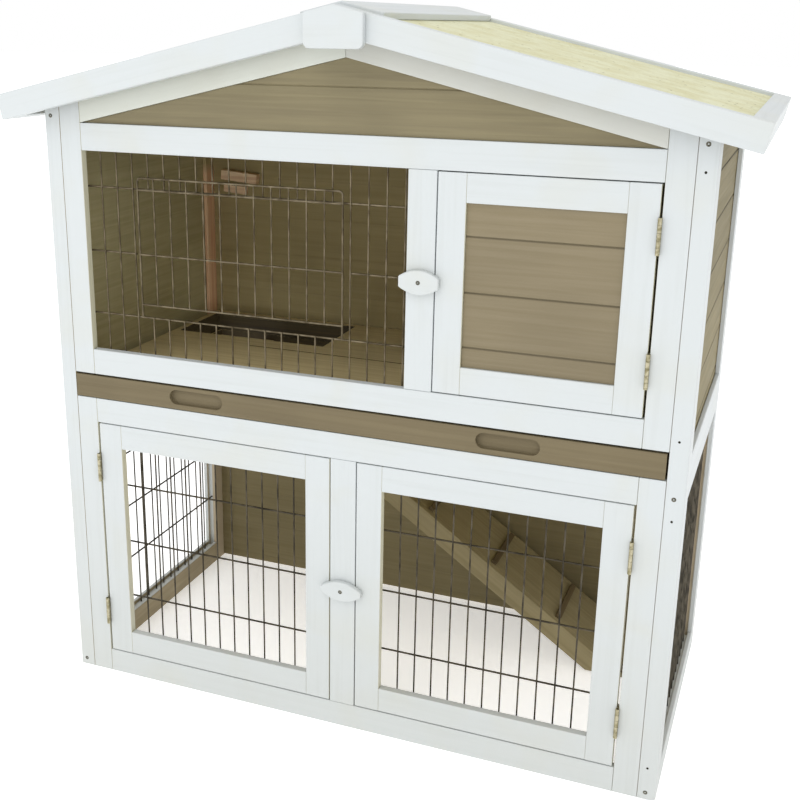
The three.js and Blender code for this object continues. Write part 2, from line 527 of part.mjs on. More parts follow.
// A turn button: a flat lens with cut ends, clear of the doors that it overlaps.
function turnButton(name, x, { half, rise, end, z }) {
  const bulge = 2 * rise - end;
  const lens = new THREE.Shape();
  lens.moveTo(x - half, z - end).quadraticCurveTo(x, z - bulge, x + half, z - end);
  lens.lineTo(x + half, z + end).quadraticCurveTo(x, z + bulge, x - half, z + end);
  const y1 = depth(0) - 2 * FIT_GAP;
  add(name, extrude(lens, 'xz', y1 - BUTTON_THICK, y1, 10), whitePaint);
}

// ---- tray and ramp ------------------------------------------------------------------------------------
function tray() {
  const half = PANEL_INNER - 1;
  const front = box(-half, half, depth(0), depth(TRAY_FRONT_THICK), TRAY_Z + 1, UPPER_RAIL_Z - 1.5);
  const middle = TRAY_Z + TRAY_SLOT / 2;
  const grips = [-1, 1].map((side) => {
    const slot = new THREE.Shape();
    const straight = (GRIP.width - GRIP.height) / 2;
    const radius = GRIP.height / 2;
    const x = side * GRIP.x;
    slot.absarc(x + straight, middle, radius, -Math.PI / 2, Math.PI / 2);
    slot.absarc(x - straight, middle, radius, Math.PI / 2, 1.5 * Math.PI);
    return extrude(slot, 'xz', depth(-1), depth(GRIP.depth), 8);
  });
  add('tray_front', cut(front, grips), taupeStain);

  const edge = half - 1.5;
  const y0 = depth(TRAY_FRONT_THICK) + FIT_GAP;
  const y1 = depth(BACK_INNER - TRAY_TRAVEL_REST);
  const base = TRAY_Z + 0.4;
  const top = base + TRAY_HEIGHT;
  const body = box(-edge, edge, y0, y1, base, top);
  const inside = box(-edge + TRAY_WALL, edge - TRAY_WALL, y0 + TRAY_WALL, y1 - TRAY_WALL, base - 1, top - TRAY_DECK);
  const hole = box(hatch.x0, hatch.x1, hatch.y0, Math.min(hatch.y1, y1 - TRAY_WALL - 2), base - 1, top + 1);
  add('tray_pan', cut(body, [inside, hole]), taupeStain);
}

function ramp() {
  const sin = Math.sin(RAMP_SLOPE);
  const cos = Math.cos(RAMP_SLOPE);
  const at = (along, rise) => [rampPivot.x + along * cos + rise * sin, rampPivot.z - along * sin + rise * cos];
  const ground = 3;
  const toGround = (rise) => (rampPivot.z - ground + rise * cos) / sin;
  const strip = (low, high) => [at(RAMP.start, low), at(toGround(low), low), at(toGround(high), high),
    at(RAMP.start, high)];
  const y1 = hatch.y1 - RAMP.side;
  const y0 = y1 - RAMP.width;
  const deck = extrude(strip(RAMP.lift - RAMP.deck, RAMP.lift), 'xz', y0, y1);
  const rails = [y0, y1 - RAMP.railThick].map((y) =>
    extrude(strip(RAMP.lift - RAMP.rail, RAMP.lift), 'xz', y, y + RAMP.railThick));
  const cleats = row(CLEAT.first, CLEAT.pitch, CLEAT.count).map((along) => extrude([
    at(along, RAMP.lift - WELD), at(along + CLEAT.width, RAMP.lift - WELD),
    at(along + CLEAT.width, RAMP.lift + CLEAT.height), at(along, RAMP.lift + CLEAT.height),
  ], 'xz', y0 + RAMP.railThick, y1 - RAMP.railThick));
  add('ramp', join([deck, ...rails, ...cleats]), taupeStain);
}

sidePanel(-1, 'left');
sidePanel(1, 'right');
frontFrames();
gable();
windowGrille();
wireDoor();
backPanel();
upperFloor();
wallBlocks();
nestPartition();
roof();
lowerDoor(-1, 'left');
lowerDoor(1, 'right');
nestDoor();
turnButton('upper_turn_button', UPPER_MULLION_X, UPPER_BUTTON);
turnButton('lower_turn_button', 0, LOWER_BUTTON);
tray();
ramp();

export default hutch;
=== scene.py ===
"""Two-storey rabbit hutch with a gable roof: the visual model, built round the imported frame.

Sizes are in millimetres and are turned into metres where a mesh is made. +Z is up and the front faces -Y.
"""
import logging
import math
from collections.abc import Iterable, Sequence
from dataclasses import dataclass, field
from enum import Enum

import bmesh
import bpy
from mathutils import Matrix, Vector


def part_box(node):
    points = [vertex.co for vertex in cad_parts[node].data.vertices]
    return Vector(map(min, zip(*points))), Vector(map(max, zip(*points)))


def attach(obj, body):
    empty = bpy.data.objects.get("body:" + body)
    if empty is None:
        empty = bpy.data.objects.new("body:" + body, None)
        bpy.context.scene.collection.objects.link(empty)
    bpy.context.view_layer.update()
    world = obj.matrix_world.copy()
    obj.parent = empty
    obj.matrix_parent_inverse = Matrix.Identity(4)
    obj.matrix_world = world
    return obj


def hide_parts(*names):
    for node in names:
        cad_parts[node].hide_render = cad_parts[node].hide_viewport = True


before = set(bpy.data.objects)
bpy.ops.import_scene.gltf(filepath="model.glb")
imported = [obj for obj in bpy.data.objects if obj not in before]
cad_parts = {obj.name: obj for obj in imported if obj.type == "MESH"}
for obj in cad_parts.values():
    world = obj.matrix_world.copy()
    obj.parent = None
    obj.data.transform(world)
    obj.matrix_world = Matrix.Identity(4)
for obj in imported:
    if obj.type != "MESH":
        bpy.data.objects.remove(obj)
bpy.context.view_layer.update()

LOG = logging.getLogger("hutch")
MM = 0.001
Triple = tuple[float, float, float]
Pair = tuple[float, float]


# ---- colour and nodes ---------------------------------------------------------------------------------------
def linear(code: str) -> tuple[float, float, float, float]:
    """Turns an sRGB hex colour into a linear colour.

    Args:
        code: Six hex digits after a hash sign.

    Returns:
        Linear red, green and blue, and an alpha of one.
    """
    levels = [int(code[i:i + 2], 16) / 255 for i in (1, 3, 5)]
    red, green, blue = (v / 12.92 if v <= 0.04045 else ((v + 0.055) / 1.055) ** 2.4 for v in levels)
    return red, green, blue, 1.0


def add_node(tree: bpy.types.NodeTree, kind: str, inputs: dict | None = None, **settings: object) -> bpy.types.Node:
    """Adds a node with its settings, values and links.

    Args:
        tree: The tree that gets the node.
        kind: The node's type name.
        inputs: Values or sockets for its inputs, by socket name or number.
        **settings: Properties of the node.

    Returns:
        The new node.
    """
    node = tree.nodes.new(kind)
    for key, value in settings.items():
        setattr(node, key, value)
    for key, value in (inputs or {}).items():
        if isinstance(value, bpy.types.NodeSocket):
            tree.links.new(value, node.inputs[key])
        else:
            node.inputs[key].default_value = value
    return node


class Run(Enum):
    """The way that the grain of a piece of wood runs."""

    ACROSS = 0
    BACK = 1
    UP = 2


# ---- finishes -----------------------------------------------------------------------------------------------
@dataclass(frozen=True)
class Finish:
    """A surface finish, which makes its material once."""

    name: str

    def material(self) -> bpy.types.Material:
        """Gives the finish's material.

        Returns:
            The material, made at the first call.
        """
        made = bpy.data.materials.get(self.name)
        if made is None:
            made = bpy.data.materials.new(self.name)
            made.use_nodes = True
            made.node_tree.nodes.clear()
            self.dress(made.node_tree)
        return made

    def dress(self, tree: bpy.types.NodeTree) -> None:
        """Fills the material's node tree.

        Args:
            tree: The empty tree.
        """
        raise NotImplementedError

    @staticmethod
    def noise(tree: bpy.types.NodeTree, vector: bpy.types.NodeSocket, size: float, detail: float = 3.0,
              warp: float = 0.0) -> bpy.types.NodeSocket:
        """Adds a noise pattern.

        Args:
            tree: The tree that gets it.
            vector: Coordinates in metres.
            size: Size of its larger spots in mm.
            detail: Its octaves.
            warp: Its distortion.

        Returns:
            The pattern's factor.
        """
        return add_node(tree, "ShaderNodeTexNoise", {"Vector": vector, "Scale": 1 / (size * MM), "Detail": detail,
                                                     "Distortion": warp}).outputs["Fac"]

    @staticmethod
    def ramp(tree: bpy.types.NodeTree, factor: bpy.types.NodeSocket, low: float, high: float,
             to_low: float = 0.0, to_high: float = 1.0) -> bpy.types.NodeSocket:
        """Maps a factor from one range to another, held at both ends.

        Args:
            tree: The tree that gets it.
            factor: The value to map.
            low: Start of the range it comes from.
            high: End of the range it comes from.
            to_low: Start of the range it goes to.
            to_high: End of the range it goes to.

        Returns:
            The mapped value.
        """
        return add_node(tree, "ShaderNodeMapRange", {"Value": factor, "From Min": low, "From Max": high,
                                                     "To Min": to_low, "To Max": to_high}).outputs["Result"]

    @staticmethod
    def mix(tree: bpy.types.NodeTree, factor: bpy.types.NodeSocket | float, first: object, second: object,
            blend: str = "MIX") -> bpy.types.NodeSocket:
        """Mixes two colours.

        Args:
            tree: The tree that gets it.
            factor: How much of the second colour.
            first: Colour or socket.
            second: Colour or socket.
            blend: How the two are mixed.

        Returns:
            The mixed colour.
        """
        node = add_node(tree, "ShaderNodeMix", {0: factor, 6: first, 7: second}, data_type="RGBA", blend_type=blend)
        return node.outputs[2]

    @staticmethod
    def surface(tree: bpy.types.NodeTree, colour: bpy.types.NodeSocket, roughness: object, relief: object = None,
                height: float = 0.1, metallic: float = 0.0, specular: float = 0.5) -> None:
        """Ends the tree in a shader.

        Args:
            tree: The tree that gets it.
            colour: Base colour.
            roughness: Value or socket.
            relief: Height pattern, or None for a smooth surface.
            height: The relief's full height in mm.
            metallic: One for a bare metal.
            specular: Specular level of a surface that isn't metal.
        """
        inputs = {"Base Color": colour, "Roughness": roughness, "Metallic": metallic}
        if not metallic:
            inputs["Specular IOR Level"] = specular
        if relief is not None:
            inputs["Normal"] = add_node(tree, "ShaderNodeBump", {
                "Height": relief, "Distance": height * MM, "Strength": 1.0}).outputs["Normal"]
        shader = add_node(tree, "ShaderNodeBsdfPrincipled", inputs)
        add_node(tree, "ShaderNodeOutputMaterial", {"Surface": shader.outputs[0]})


@dataclass(frozen=True)
class Wood(Finish):
    """Planed softwood: long streaks that follow the grain, under whatever coat it has.

    Softwood rings show 2 to 5 mm apart on a planed face. The streaks are drawn 7 mm wide, because finer ones
    don't show when the whole hutch is in view.
    """

    run: Run = Run.ACROSS
    tilt: float = 0.0
    streak: float = 7.0
    length: float = 240.0

    def object_point(self, tree: bpy.types.NodeTree) -> bpy.types.NodeSocket:
        """Adds object coordinates, turned about Y by the tilt.

        Args:
            tree: The tree that gets them.

        Returns:
            The coordinates, in metres.
        """
        point = add_node(tree, "ShaderNodeTexCoord").outputs["Object"]
        if not self.tilt:
            return point
        return add_node(tree, "ShaderNodeMapping", {"Vector": point,
                                                    "Rotation": (0.0, math.radians(self.tilt), 0.0)}).outputs[0]

    def grain(self, tree: bpy.types.NodeTree, width: float, detail: float = 4.0) -> bpy.types.NodeSocket:
        """Adds streaks along the grain.

        Args:
            tree: The tree that gets them.
            width: Width of a streak in mm.
            detail: Octaves of the pattern.

        Returns:
            The streaks' factor.
        """
        scale = [1 / (width * MM)] * 3
        scale[self.run.value] = 1 / (self.length * MM)
        stretched = add_node(tree, "ShaderNodeMapping", {"Vector": self.object_point(tree), "Scale": scale})
        return add_node(tree, "ShaderNodeTexNoise", {"Vector": stretched.outputs[0], "Scale": 1.0,
                                                     "Detail": detail, "Distortion": 0.6}).outputs["Fac"]


@dataclass(frozen=True)
class PaintedSoftwood(Wood):
    """Cool white paint brushed on planed softwood. It dries satin, the grain just telegraphs through it, and it
    is thinner and warmer in patches some 110 mm across. Low down, under `low_shade_top`, it is painted darker:
    painted shade of the light that falls from above."""

    coat: str = "#c7cccd"
    thin: str = "#c5c6bc"
    shade: str = "#b3b7b3"
    low_shade_tone: str = "#b0b0a6"
    patch: float = 110.0
    low_shade_top: float = 400.0
    low_shade: float = 0.32

    def dress(self, tree: bpy.types.NodeTree) -> None:
        """Fills the tree with patches, streaks and brushed relief.

        Args:
            tree: The empty tree.
        """
        point = add_node(tree, "ShaderNodeTexCoord").outputs["Object"]
        patches = self.ramp(tree, self.noise(tree, point, self.patch, 2.0, 0.5), 0.48, 0.72, 0.0, 0.4)
        tint = self.mix(tree, patches, linear(self.coat), linear(self.thin))
        streaks = self.grain(tree, self.streak)
        tone = self.mix(tree, self.ramp(tree, streaks, 0.5, 0.75, 0.0, 0.18), tint, linear(self.shade))
        # Painted shade: below a set height the tone is mixed towards a darker one, for light that falls from above.
        height = add_node(tree, "ShaderNodeSeparateXYZ", {0: point}).outputs["Z"]
        low_shade = self.ramp(tree, height, 0.0, self.low_shade_top * MM, self.low_shade, 0.0)
        tone = self.mix(tree, low_shade, tone, linear(self.low_shade_tone))
        roughness = self.ramp(tree, streaks, 0.3, 0.7, 0.42, 0.55)
        self.surface(tree, tone, roughness, streaks, 0.2)


@dataclass(frozen=True)
class StainedSoftwood(Wood):
    """Grey-brown stain on planed softwood: low sheen, the grain darker than the wood between, and no two boards
    take it quite alike. Boards lie one above another, so a board is told by its height. Below the upper floor
    the tone is scaled by the factor `lower`, which paints in the shade under the floor. The joints are darker
    by the factor `seam`: painted shade in the grooves."""

    light: str = "#998c70"
    dark: str = "#8d8064"
    joint: float = 0.0
    board: float = 1000.0
    spread: float = 0.10
    lower: float = 1.0
    seam: float = 1.0
    storey: Pair = (455.0, 490.0)

    def dress(self, tree: bpy.types.NodeTree) -> None:
        """Fills the tree with streaks, patches and a tone for each board.

        Args:
            tree: The empty tree.
        """
        point = add_node(tree, "ShaderNodeTexCoord").outputs["Object"]
        height = add_node(tree, "ShaderNodeSeparateXYZ", {0: point}).outputs["Z"]
        above = add_node(tree, "ShaderNodeMath", {0: height, 1: self.joint * MM}, operation="SUBTRACT").outputs[0]
        number = add_node(tree, "ShaderNodeMath", {0: above, 1: self.board * MM}, operation="DIVIDE").outputs[0]
        whole = add_node(tree, "ShaderNodeMath", {0: number}, operation="FLOOR").outputs[0]
        lot = add_node(tree, "ShaderNodeTexWhiteNoise", {"W": whole}, noise_dimensions="1D").outputs["Value"]
        streaks = self.grain(tree, self.streak)
        fine = self.grain(tree, self.streak / 3, 2.0)
        tone = self.mix(tree, self.ramp(tree, streaks, 0.32, 0.68), linear(self.light), linear(self.dark))
        patches = self.ramp(tree, self.noise(tree, point, 160.0, 2.0), 0.35, 0.65, 0.94, 1.05)
        level = self.ramp(tree, lot, 0.0, 1.0, 1 - self.spread, 1 + self.spread)
        # Painted shade: below the upper floor the tone is scaled by `lower`.
        if self.lower != 1.0:
            storey = self.ramp(tree, height, self.storey[0] * MM, self.storey[1] * MM, self.lower, 1.0)
            patches = add_node(tree, "ShaderNodeMath", {0: patches, 1: storey}, operation="MULTIPLY").outputs[0]
        # Painted shade: the tone darkens near each joint, by `seam`.
        if self.seam != 1.0:
            near = add_node(tree, "ShaderNodeMath", {0: number, 1: 0.5}, operation="PINGPONG").outputs[0]
            groove_shade = self.ramp(tree, near, 0.6 / self.board, 1.9 / self.board, self.seam, 1.0)
            patches = add_node(tree, "ShaderNodeMath", {0: patches, 1: groove_shade}, operation="MULTIPLY").outputs[0]
        both = add_node(tree, "ShaderNodeMath", {0: patches, 1: level}, operation="MULTIPLY").outputs[0]
        grey = add_node(tree, "ShaderNodeCombineColor", {0: both, 1: both, 2: both}).outputs[0]
        colour = self.mix(tree, 1.0, tone, grey, "MULTIPLY")
        relief = add_node(tree, "ShaderNodeMath", {0: streaks, 1: fine}, operation="ADD").outputs[0]
        self.surface(tree, colour, self.ramp(tree, fine, 0.3, 0.7, 0.6, 0.75), relief, 0.2, specular=0.3)


@dataclass(frozen=True)
class BareSoftwood(Wood):
    """Unpainted reddish softwood, planed and dry: clear early and late wood and a few pores."""

    light: str = "#b98a66"
    dark: str = "#8f5f43"

    def dress(self, tree: bpy.types.NodeTree) -> None:
        """Fills the tree with rings and fine grain.

        Args:
            tree: The empty tree.
        """
        streaks = self.grain(tree, self.streak)
        fine = self.grain(tree, self.streak / 3, 2.0)
        tone = self.mix(tree, self.ramp(tree, streaks, 0.4, 0.62), linear(self.light), linear(self.dark))
        self.surface(tree, tone, self.ramp(tree, fine, 0.3, 0.7, 0.65, 0.8), fine, 0.25, specular=0.3)


@dataclass(frozen=True)
class PostInside(BareSoftwood):
    """The inner face of a rear post: pale and dry in the run, reddish bare wood above the floor, and stained
    again near the roof."""

    run_tone: str = "#b3a58c"
    top_tone: str = "#b5a579"
    floor_zone: Pair = (460.0, 490.0)
    roof_zone: Pair = (745.0, 765.0)

    def dress(self, tree: bpy.types.NodeTree) -> None:
        """Fills the tree with three zones, one above another.

        Args:
            tree: The empty tree.
        """
        point = add_node(tree, "ShaderNodeTexCoord").outputs["Object"]
        height = add_node(tree, "ShaderNodeSeparateXYZ", {0: point}).outputs["Z"]
        streaks = self.grain(tree, self.streak)
        bare = self.mix(tree, self.ramp(tree, streaks, 0.4, 0.62), linear(self.light), linear(self.dark))
        upstairs = self.ramp(tree, height, self.floor_zone[0] * MM, self.floor_zone[1] * MM)
        near_roof = self.ramp(tree, height, self.roof_zone[0] * MM, self.roof_zone[1] * MM)
        over = self.mix(tree, upstairs, linear(self.run_tone), bare)
        tone = self.mix(tree, near_roof, over, linear(self.top_tone))
        self.surface(tree, tone, self.ramp(tree, streaks, 0.3, 0.7, 0.6, 0.75), streaks, 0.2, specular=0.3)


@dataclass(frozen=True)
class MineralFelt(Finish):
    """Bitumen roofing felt faced with pale greenish sand. The chips are 1 to 2 mm, drawn 3 mm wide so that they
    show, with a few darker ones and worn patches where the sheet is yellower."""

    pale: str = "#d9d9bb"
    shaded_cleat_stain: str = "#d0cda8"
    chip: str = "#9c9870"
    speck: str = "#7d7452"

    def dress(self, tree: bpy.types.NodeTree) -> None:
        """Fills the tree with chips and patches.

        Args:
            tree: The empty tree.
        """
        point = add_node(tree, "ShaderNodeTexCoord").outputs["Object"]
        patches = self.ramp(tree, self.noise(tree, point, 45.0, 3.0), 0.4, 0.65)
        base = self.mix(tree, patches, linear(self.pale), linear(self.shaded_cleat_stain))
        grit = self.noise(tree, point, 6.0, 3.0)
        sand = self.mix(tree, self.ramp(tree, grit, 0.5, 0.78, 0.0, 0.3), base, linear(self.chip))
        cells = add_node(tree, "ShaderNodeTexVoronoi", {"Vector": point, "Scale": 1 / (9 * MM)}, feature="F1")
        rare = add_node(tree, "ShaderNodeSeparateColor", {0: cells.outputs["Color"]}).outputs[0]
        near = self.ramp(tree, cells.outputs["Distance"], 0.16, 0.26, 1.0, 0.0)
        few = self.ramp(tree, rare, 0.90, 0.93)
        speck = add_node(tree, "ShaderNodeMath", {0: near, 1: few}, operation="MULTIPLY").outputs[0]
        colour = self.mix(tree, speck, sand, linear(self.speck))
        chips = add_node(tree, "ShaderNodeTexVoronoi", {"Vector": point, "Scale": 1 / (3 * MM)}, feature="F1")
        self.surface(tree, colour, 0.95, chips.outputs["Distance"], 0.8, specular=0.2)


@dataclass(frozen=True)
class DrawnSteel(Finish):
    """Steel wire or stamped steel with a dull coat: clouded by handling, a little rust-brown in places."""

    bright: str = "#726a57"
    dull: str = "#4d483d"
    rough: float = 0.42
    cloud: float = 18.0

    def dress(self, tree: bpy.types.NodeTree) -> None:
        """Fills the tree with clouds on bare metal.

        Args:
            tree: The empty tree.
        """
        point = add_node(tree, "ShaderNodeTexCoord").outputs["Object"]
        clouds = self.noise(tree, point, self.cloud, 4.0, 0.4)
        tone = self.mix(tree, self.ramp(tree, clouds, 0.38, 0.62), linear(self.bright), linear(self.dull))
        roughness = self.ramp(tree, clouds, 0.3, 0.7, self.rough - 0.08, self.rough + 0.12)
        self.surface(tree, tone, roughness, self.noise(tree, point, 2.0), 0.04, metallic=1.0)


@dataclass(frozen=True)
class StudioFloor(Finish):
    """Matt pale board with a very faint mottle, lit a little from below like a light table."""

    glow: float = 0.42

    def dress(self, tree: bpy.types.NodeTree) -> None:
        """Fills the tree with the mottle.

        Args:
            tree: The empty tree.
        """
        point = add_node(tree, "ShaderNodeTexCoord").outputs["Object"]
        mottle = self.noise(tree, point, 300.0)
        self.surface(tree, self.mix(tree, mottle, linear("#fbfbfb"), linear("#f6f6f6")), 0.9, specular=0.1)
        shader = next(n for n in tree.nodes if n.type == "BSDF_PRINCIPLED")
        shader.inputs["Emission Color"].default_value = linear("#ffffff")
        shader.inputs["Emission Strength"].default_value = self.glow


TO_FRONT = Vector((0, -1, 0))
TO_RIGHT = Vector((1, 0, 0))
PITCH = 13.3          # of the roof, in degrees
WHITE_ACROSS = PaintedSoftwood("white_painted_softwood_across", Run.ACROSS)
WHITE_BACK = PaintedSoftwood("white_painted_softwood_back", Run.BACK)
WHITE_UP = PaintedSoftwood("white_painted_softwood_up", Run.UP)
WHITE_SLOPE = {-1: PaintedSoftwood("white_painted_softwood_left_slope", Run.ACROSS, PITCH),
               1: PaintedSoftwood("white_painted_softwood_right_slope", Run.ACROSS, -PITCH)}
# Painted shade: the gable trims get their own greyer, warmer copies of the white paint, for the shadow under the
# fascias.
WHITE_SHADED = {-1: PaintedSoftwood("thin_white_paint_left_slope", Run.ACROSS, PITCH, coat="#cccfc6",
                                    thin="#c3c3b7", shade="#b8b8ab"),
                1: PaintedSoftwood("thin_white_paint_right_slope", Run.ACROSS, -PITCH, coat="#c4c5be",
                                   thin="#bdbcb0", shade="#b2b1a4")}
UNDERCOAT = PaintedSoftwood("cream_undercoat", Run.UP, coat="#cfccb4", thin="#c7c3a6", shade="#b7b397")
STAIN_SHEET = StainedSoftwood("stained_plywood", Run.ACROSS, light="#d2c294", dark="#c1b084")
# Very dark: painted shade on the cut faces round the hatch and along the front edges of the floor and tray; the
# tray's deck seam uses it for its own dark joint.
SEAM_STAIN_AND_EDGE_SHADE = StainedSoftwood("dark_stained_cut_edges", Run.ACROSS, light="#4d4229", dark="#3a311f")
STAIN_BACK = StainedSoftwood("stained_plywood_back", Run.BACK, light="#9c8b63", dark="#8c7c57")
STAIN_RAIL = StainedSoftwood("stained_inner_rail", Run.BACK, light="#a89b80", dark="#9b8e72")
STAIN_INSIDE = StainedSoftwood("stained_inner_faces", Run.UP, light="#9c8b63", dark="#8c7c57")
STAIN_TRAY = StainedSoftwood("stained_tray_softwood", Run.ACROSS, light="#756a51", dark="#6d624a")
BARE = PostInside("bare_planed_softwood", Run.UP, light="#f3cda6", dark="#e2b08a")
BARE_ACROSS = BareSoftwood("bare_planed_softwood_across", Run.ACROSS, light="#f2d6b4", dark="#dfbb98")
FELT = MineralFelt("mineral_faced_felt")
# Painted light and shade: the doors' and sides' wire is a darker copy, for wire seen against the light, and the
# window's wire a lighter copy, for wire lit from outside.
WIRE = DrawnSteel("darkened_welded_wire", "#575145", "#39352d")
WINDOW_WIRE = DrawnSteel("dulled_window_wire", "#7c725e", "#5c5342", 0.5)
HINGE = DrawnSteel("passivated_hinge_steel", "#b9b298", "#8f8869", 0.45, 6.0)
SCREW = DrawnSteel("zinc_plated_screw", "#77756a", "#4a483e", 0.38, 4.0)
NAIL = DrawnSteel("dark_nail_head", "#3c3a30", "#26241d", 0.6, 4.0)


# ---- meshes -------------------------------------------------------------------------------------------------
class Plane(Enum):
    """The plane that an outline is drawn in: its two axes, then the axis it is drawn out along."""

    FRONT = (0, 2, 1)
    SIDE = (1, 2, 0)
    PLAN = (0, 1, 2)


def new_object(name: str, mesh: bpy.types.Mesh) -> bpy.types.Object:
    """Links a mesh into the scene.

    Args:
        name: Name of the object.
        mesh: Its mesh, already in place.

    Returns:
        The object, at the origin.
    """
    made = bpy.data.objects.new(name, mesh)
    bpy.context.scene.collection.objects.link(made)
    return made


def place(piece: bpy.types.Object, body: str, slot: str, nodes: Iterable[str] = ()) -> bpy.types.Object:
    """Makes a finished piece ride, hides the nodes it stands for and reports it.

    Args:
        piece: The finished piece.
        body: The body that it rides on.
        slot: The record's material slot; not used.
        nodes: CAD nodes that it replaces.

    Returns:
        The piece.
    """
    piece.name = piece.name.replace(" ", "_")
    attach(piece, body)
    nodes = list(nodes)
    if nodes:
        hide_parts(*nodes)
    LOG.info("%s: %d faces on %s", piece.name, len(piece.data.polygons), body)
    return piece


@dataclass
class Joinery:
    """Collects pieces of wood into one mesh. Every blank has its sharp edges eased on its own."""

    ease: float = 0.9
    steps: int = 2
    blanks: list[tuple[bpy.types.Mesh, Finish]] = field(default_factory=list)

    def _keep(self, shape: bmesh.types.BMesh, finish: Finish, ease: float | None) -> None:
        """Eases the edges of a blank and keeps it.

        Args:
            shape: The blank.
            finish: Its finish.
            ease: Width of the eased edge in mm, or None for the usual one.
        """
        width = self.ease if ease is None else ease
        bmesh.ops.recalc_face_normals(shape, faces=shape.faces)
        sharp = [e for e in shape.edges if e.is_manifold and e.calc_face_angle() > math.radians(28)]
        if width and sharp:
            bmesh.ops.bevel(shape, geom=sharp, offset=width * MM, segments=self.steps, profile=0.5,
                            affect="EDGES", clamp_overlap=True)
        mesh = bpy.data.meshes.new("blank")
        shape.to_mesh(mesh)
        shape.free()
        self.blanks.append((mesh, finish))

    def prism(self, outline: Sequence[Pair], plane: Plane, start: float, end: float, finish: Finish,
              ease: float | None = None) -> "Joinery":
        """Adds a blank of even thickness.

        Args:
            outline: Its corners in mm, in the plane's two axes.
            plane: The plane.
            start: Where it starts along the third axis, in mm.
            end: Where it ends.
            finish: Its finish.
            ease: Width of the eased edge in mm, or None for the usual one.

        Returns:
            The joinery itself.
        """
        u, v, w = plane.value
        shape = bmesh.new()
        rings = []
        for level in (start, end):
            ring = []
            for a, b in outline:
                point = [0.0, 0.0, 0.0]
                point[u], point[v], point[w] = a * MM, b * MM, level * MM
                ring.append(shape.verts.new(point))
            rings.append(ring)
        shape.faces.new(rings[0])
        shape.faces.new(rings[1])
        for i, vertex in enumerate(rings[0]):
            j = (i + 1) % len(rings[0])
            shape.faces.new((vertex, rings[0][j], rings[1][j], rings[1][i]))
        self._keep(shape, finish, ease)
        return self

    def block(self, low: Triple, high: Triple, finish: Finish, ease: float | None = None) -> "Joinery":
        """Adds a square-cut blank.

        Args:
            low: Lowest corner in mm.
            high: Highest corner in mm.
            finish: Its finish.
            ease: Width of the eased edge in mm, or None for the usual one.

        Returns:
            The joinery itself.
        """
        outline = [(low[0], low[2]), (high[0], low[2]), (high[0], high[2]), (low[0], high[2])]
        return self.prism(outline, Plane.FRONT, low[1], high[1], finish, ease)

    def copy_of(self, node: str, finish: Finish, ease: float | None = None) -> "Joinery":
        """Adds a blank with the shape of a CAD node.

        Args:
            node: The node.
            finish: Its finish.
            ease: Width of the eased edge in mm, or None for the usual one.

        Returns:
            The joinery itself.
        """
        shape = bmesh.new()
        shape.from_mesh(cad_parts[node].data)
        bmesh.ops.remove_doubles(shape, verts=shape.verts, dist=1e-5)
        bmesh.ops.dissolve_limit(shape, angle_limit=math.radians(0.5), verts=shape.verts, edges=shape.edges)
        self._keep(shape, finish, ease)
        return self

    def piece(self, name: str) -> bpy.types.Object:
        """Joins the blanks.

        Args:
            name: Name of the object.

        Returns:
            The object, with a material for each finish.
        """
        whole = bmesh.new()
        mesh = bpy.data.meshes.new(name)
        finishes: list[Finish] = []
        for blank, finish in self.blanks:
            if finish not in finishes:
                finishes.append(finish)
                mesh.materials.append(finish.material())
            index = finishes.index(finish)
            before = len(whole.faces)
            whole.from_mesh(blank)
            whole.faces.ensure_lookup_table()
            for face in whole.faces[before:]:
                face.material_index = index
            bpy.data.meshes.remove(blank)
        whole.to_mesh(mesh)
        whole.free()
        return new_object(name, mesh)


def eased(node: str, finish: Finish, body: str, slot: str, ease: float = 0.9) -> bpy.types.Object:
    """Replaces a CAD node by a copy with eased edges.

    Args:
        node: The node.
        finish: The copy's finish.
        body: The body that it rides on.
        slot: Its material slot.
        ease: Width of the eased edge in mm.

    Returns:
        The new piece.
    """
    return place(Joinery(ease).copy_of(node, finish).piece(node + "_wood"), body, slot, [node])


def coat_faces(piece: bpy.types.Object, direction: Vector, finish: Finish, half_width: float = 1000.0) -> None:
    """Gives the faces that look one way a finish of their own.

    Args:
        piece: The piece.
        direction: The way that they look.
        finish: Their finish.
        half_width: How far from the middle of the hutch the finish reaches, in mm.
    """
    piece.data.materials.append(finish.material())
    index = len(piece.data.materials) - 1
    for face in piece.data.polygons:
        if face.normal.dot(direction) > 0.9 and abs(face.center.x) < half_width * MM:
            face.material_index = index


def close_joints(piece: bpy.types.Object, direction: Vector, reach: float = 4.0, left: float = 0.12) -> None:
    """Presses the joints in one face of a boarding nearly shut.

    Args:
        piece: The boarding.
        direction: The way that the face looks.
        reach: How deep the joints go, in mm.
        left: How much of their depth stays.
    """
    level = max(v.co.dot(direction) for v in piece.data.vertices)
    for vertex in piece.data.vertices:
        depth = level - vertex.co.dot(direction)
        if depth < reach * MM:
            vertex.co += direction * depth * (1 - left)
    piece.data.update()


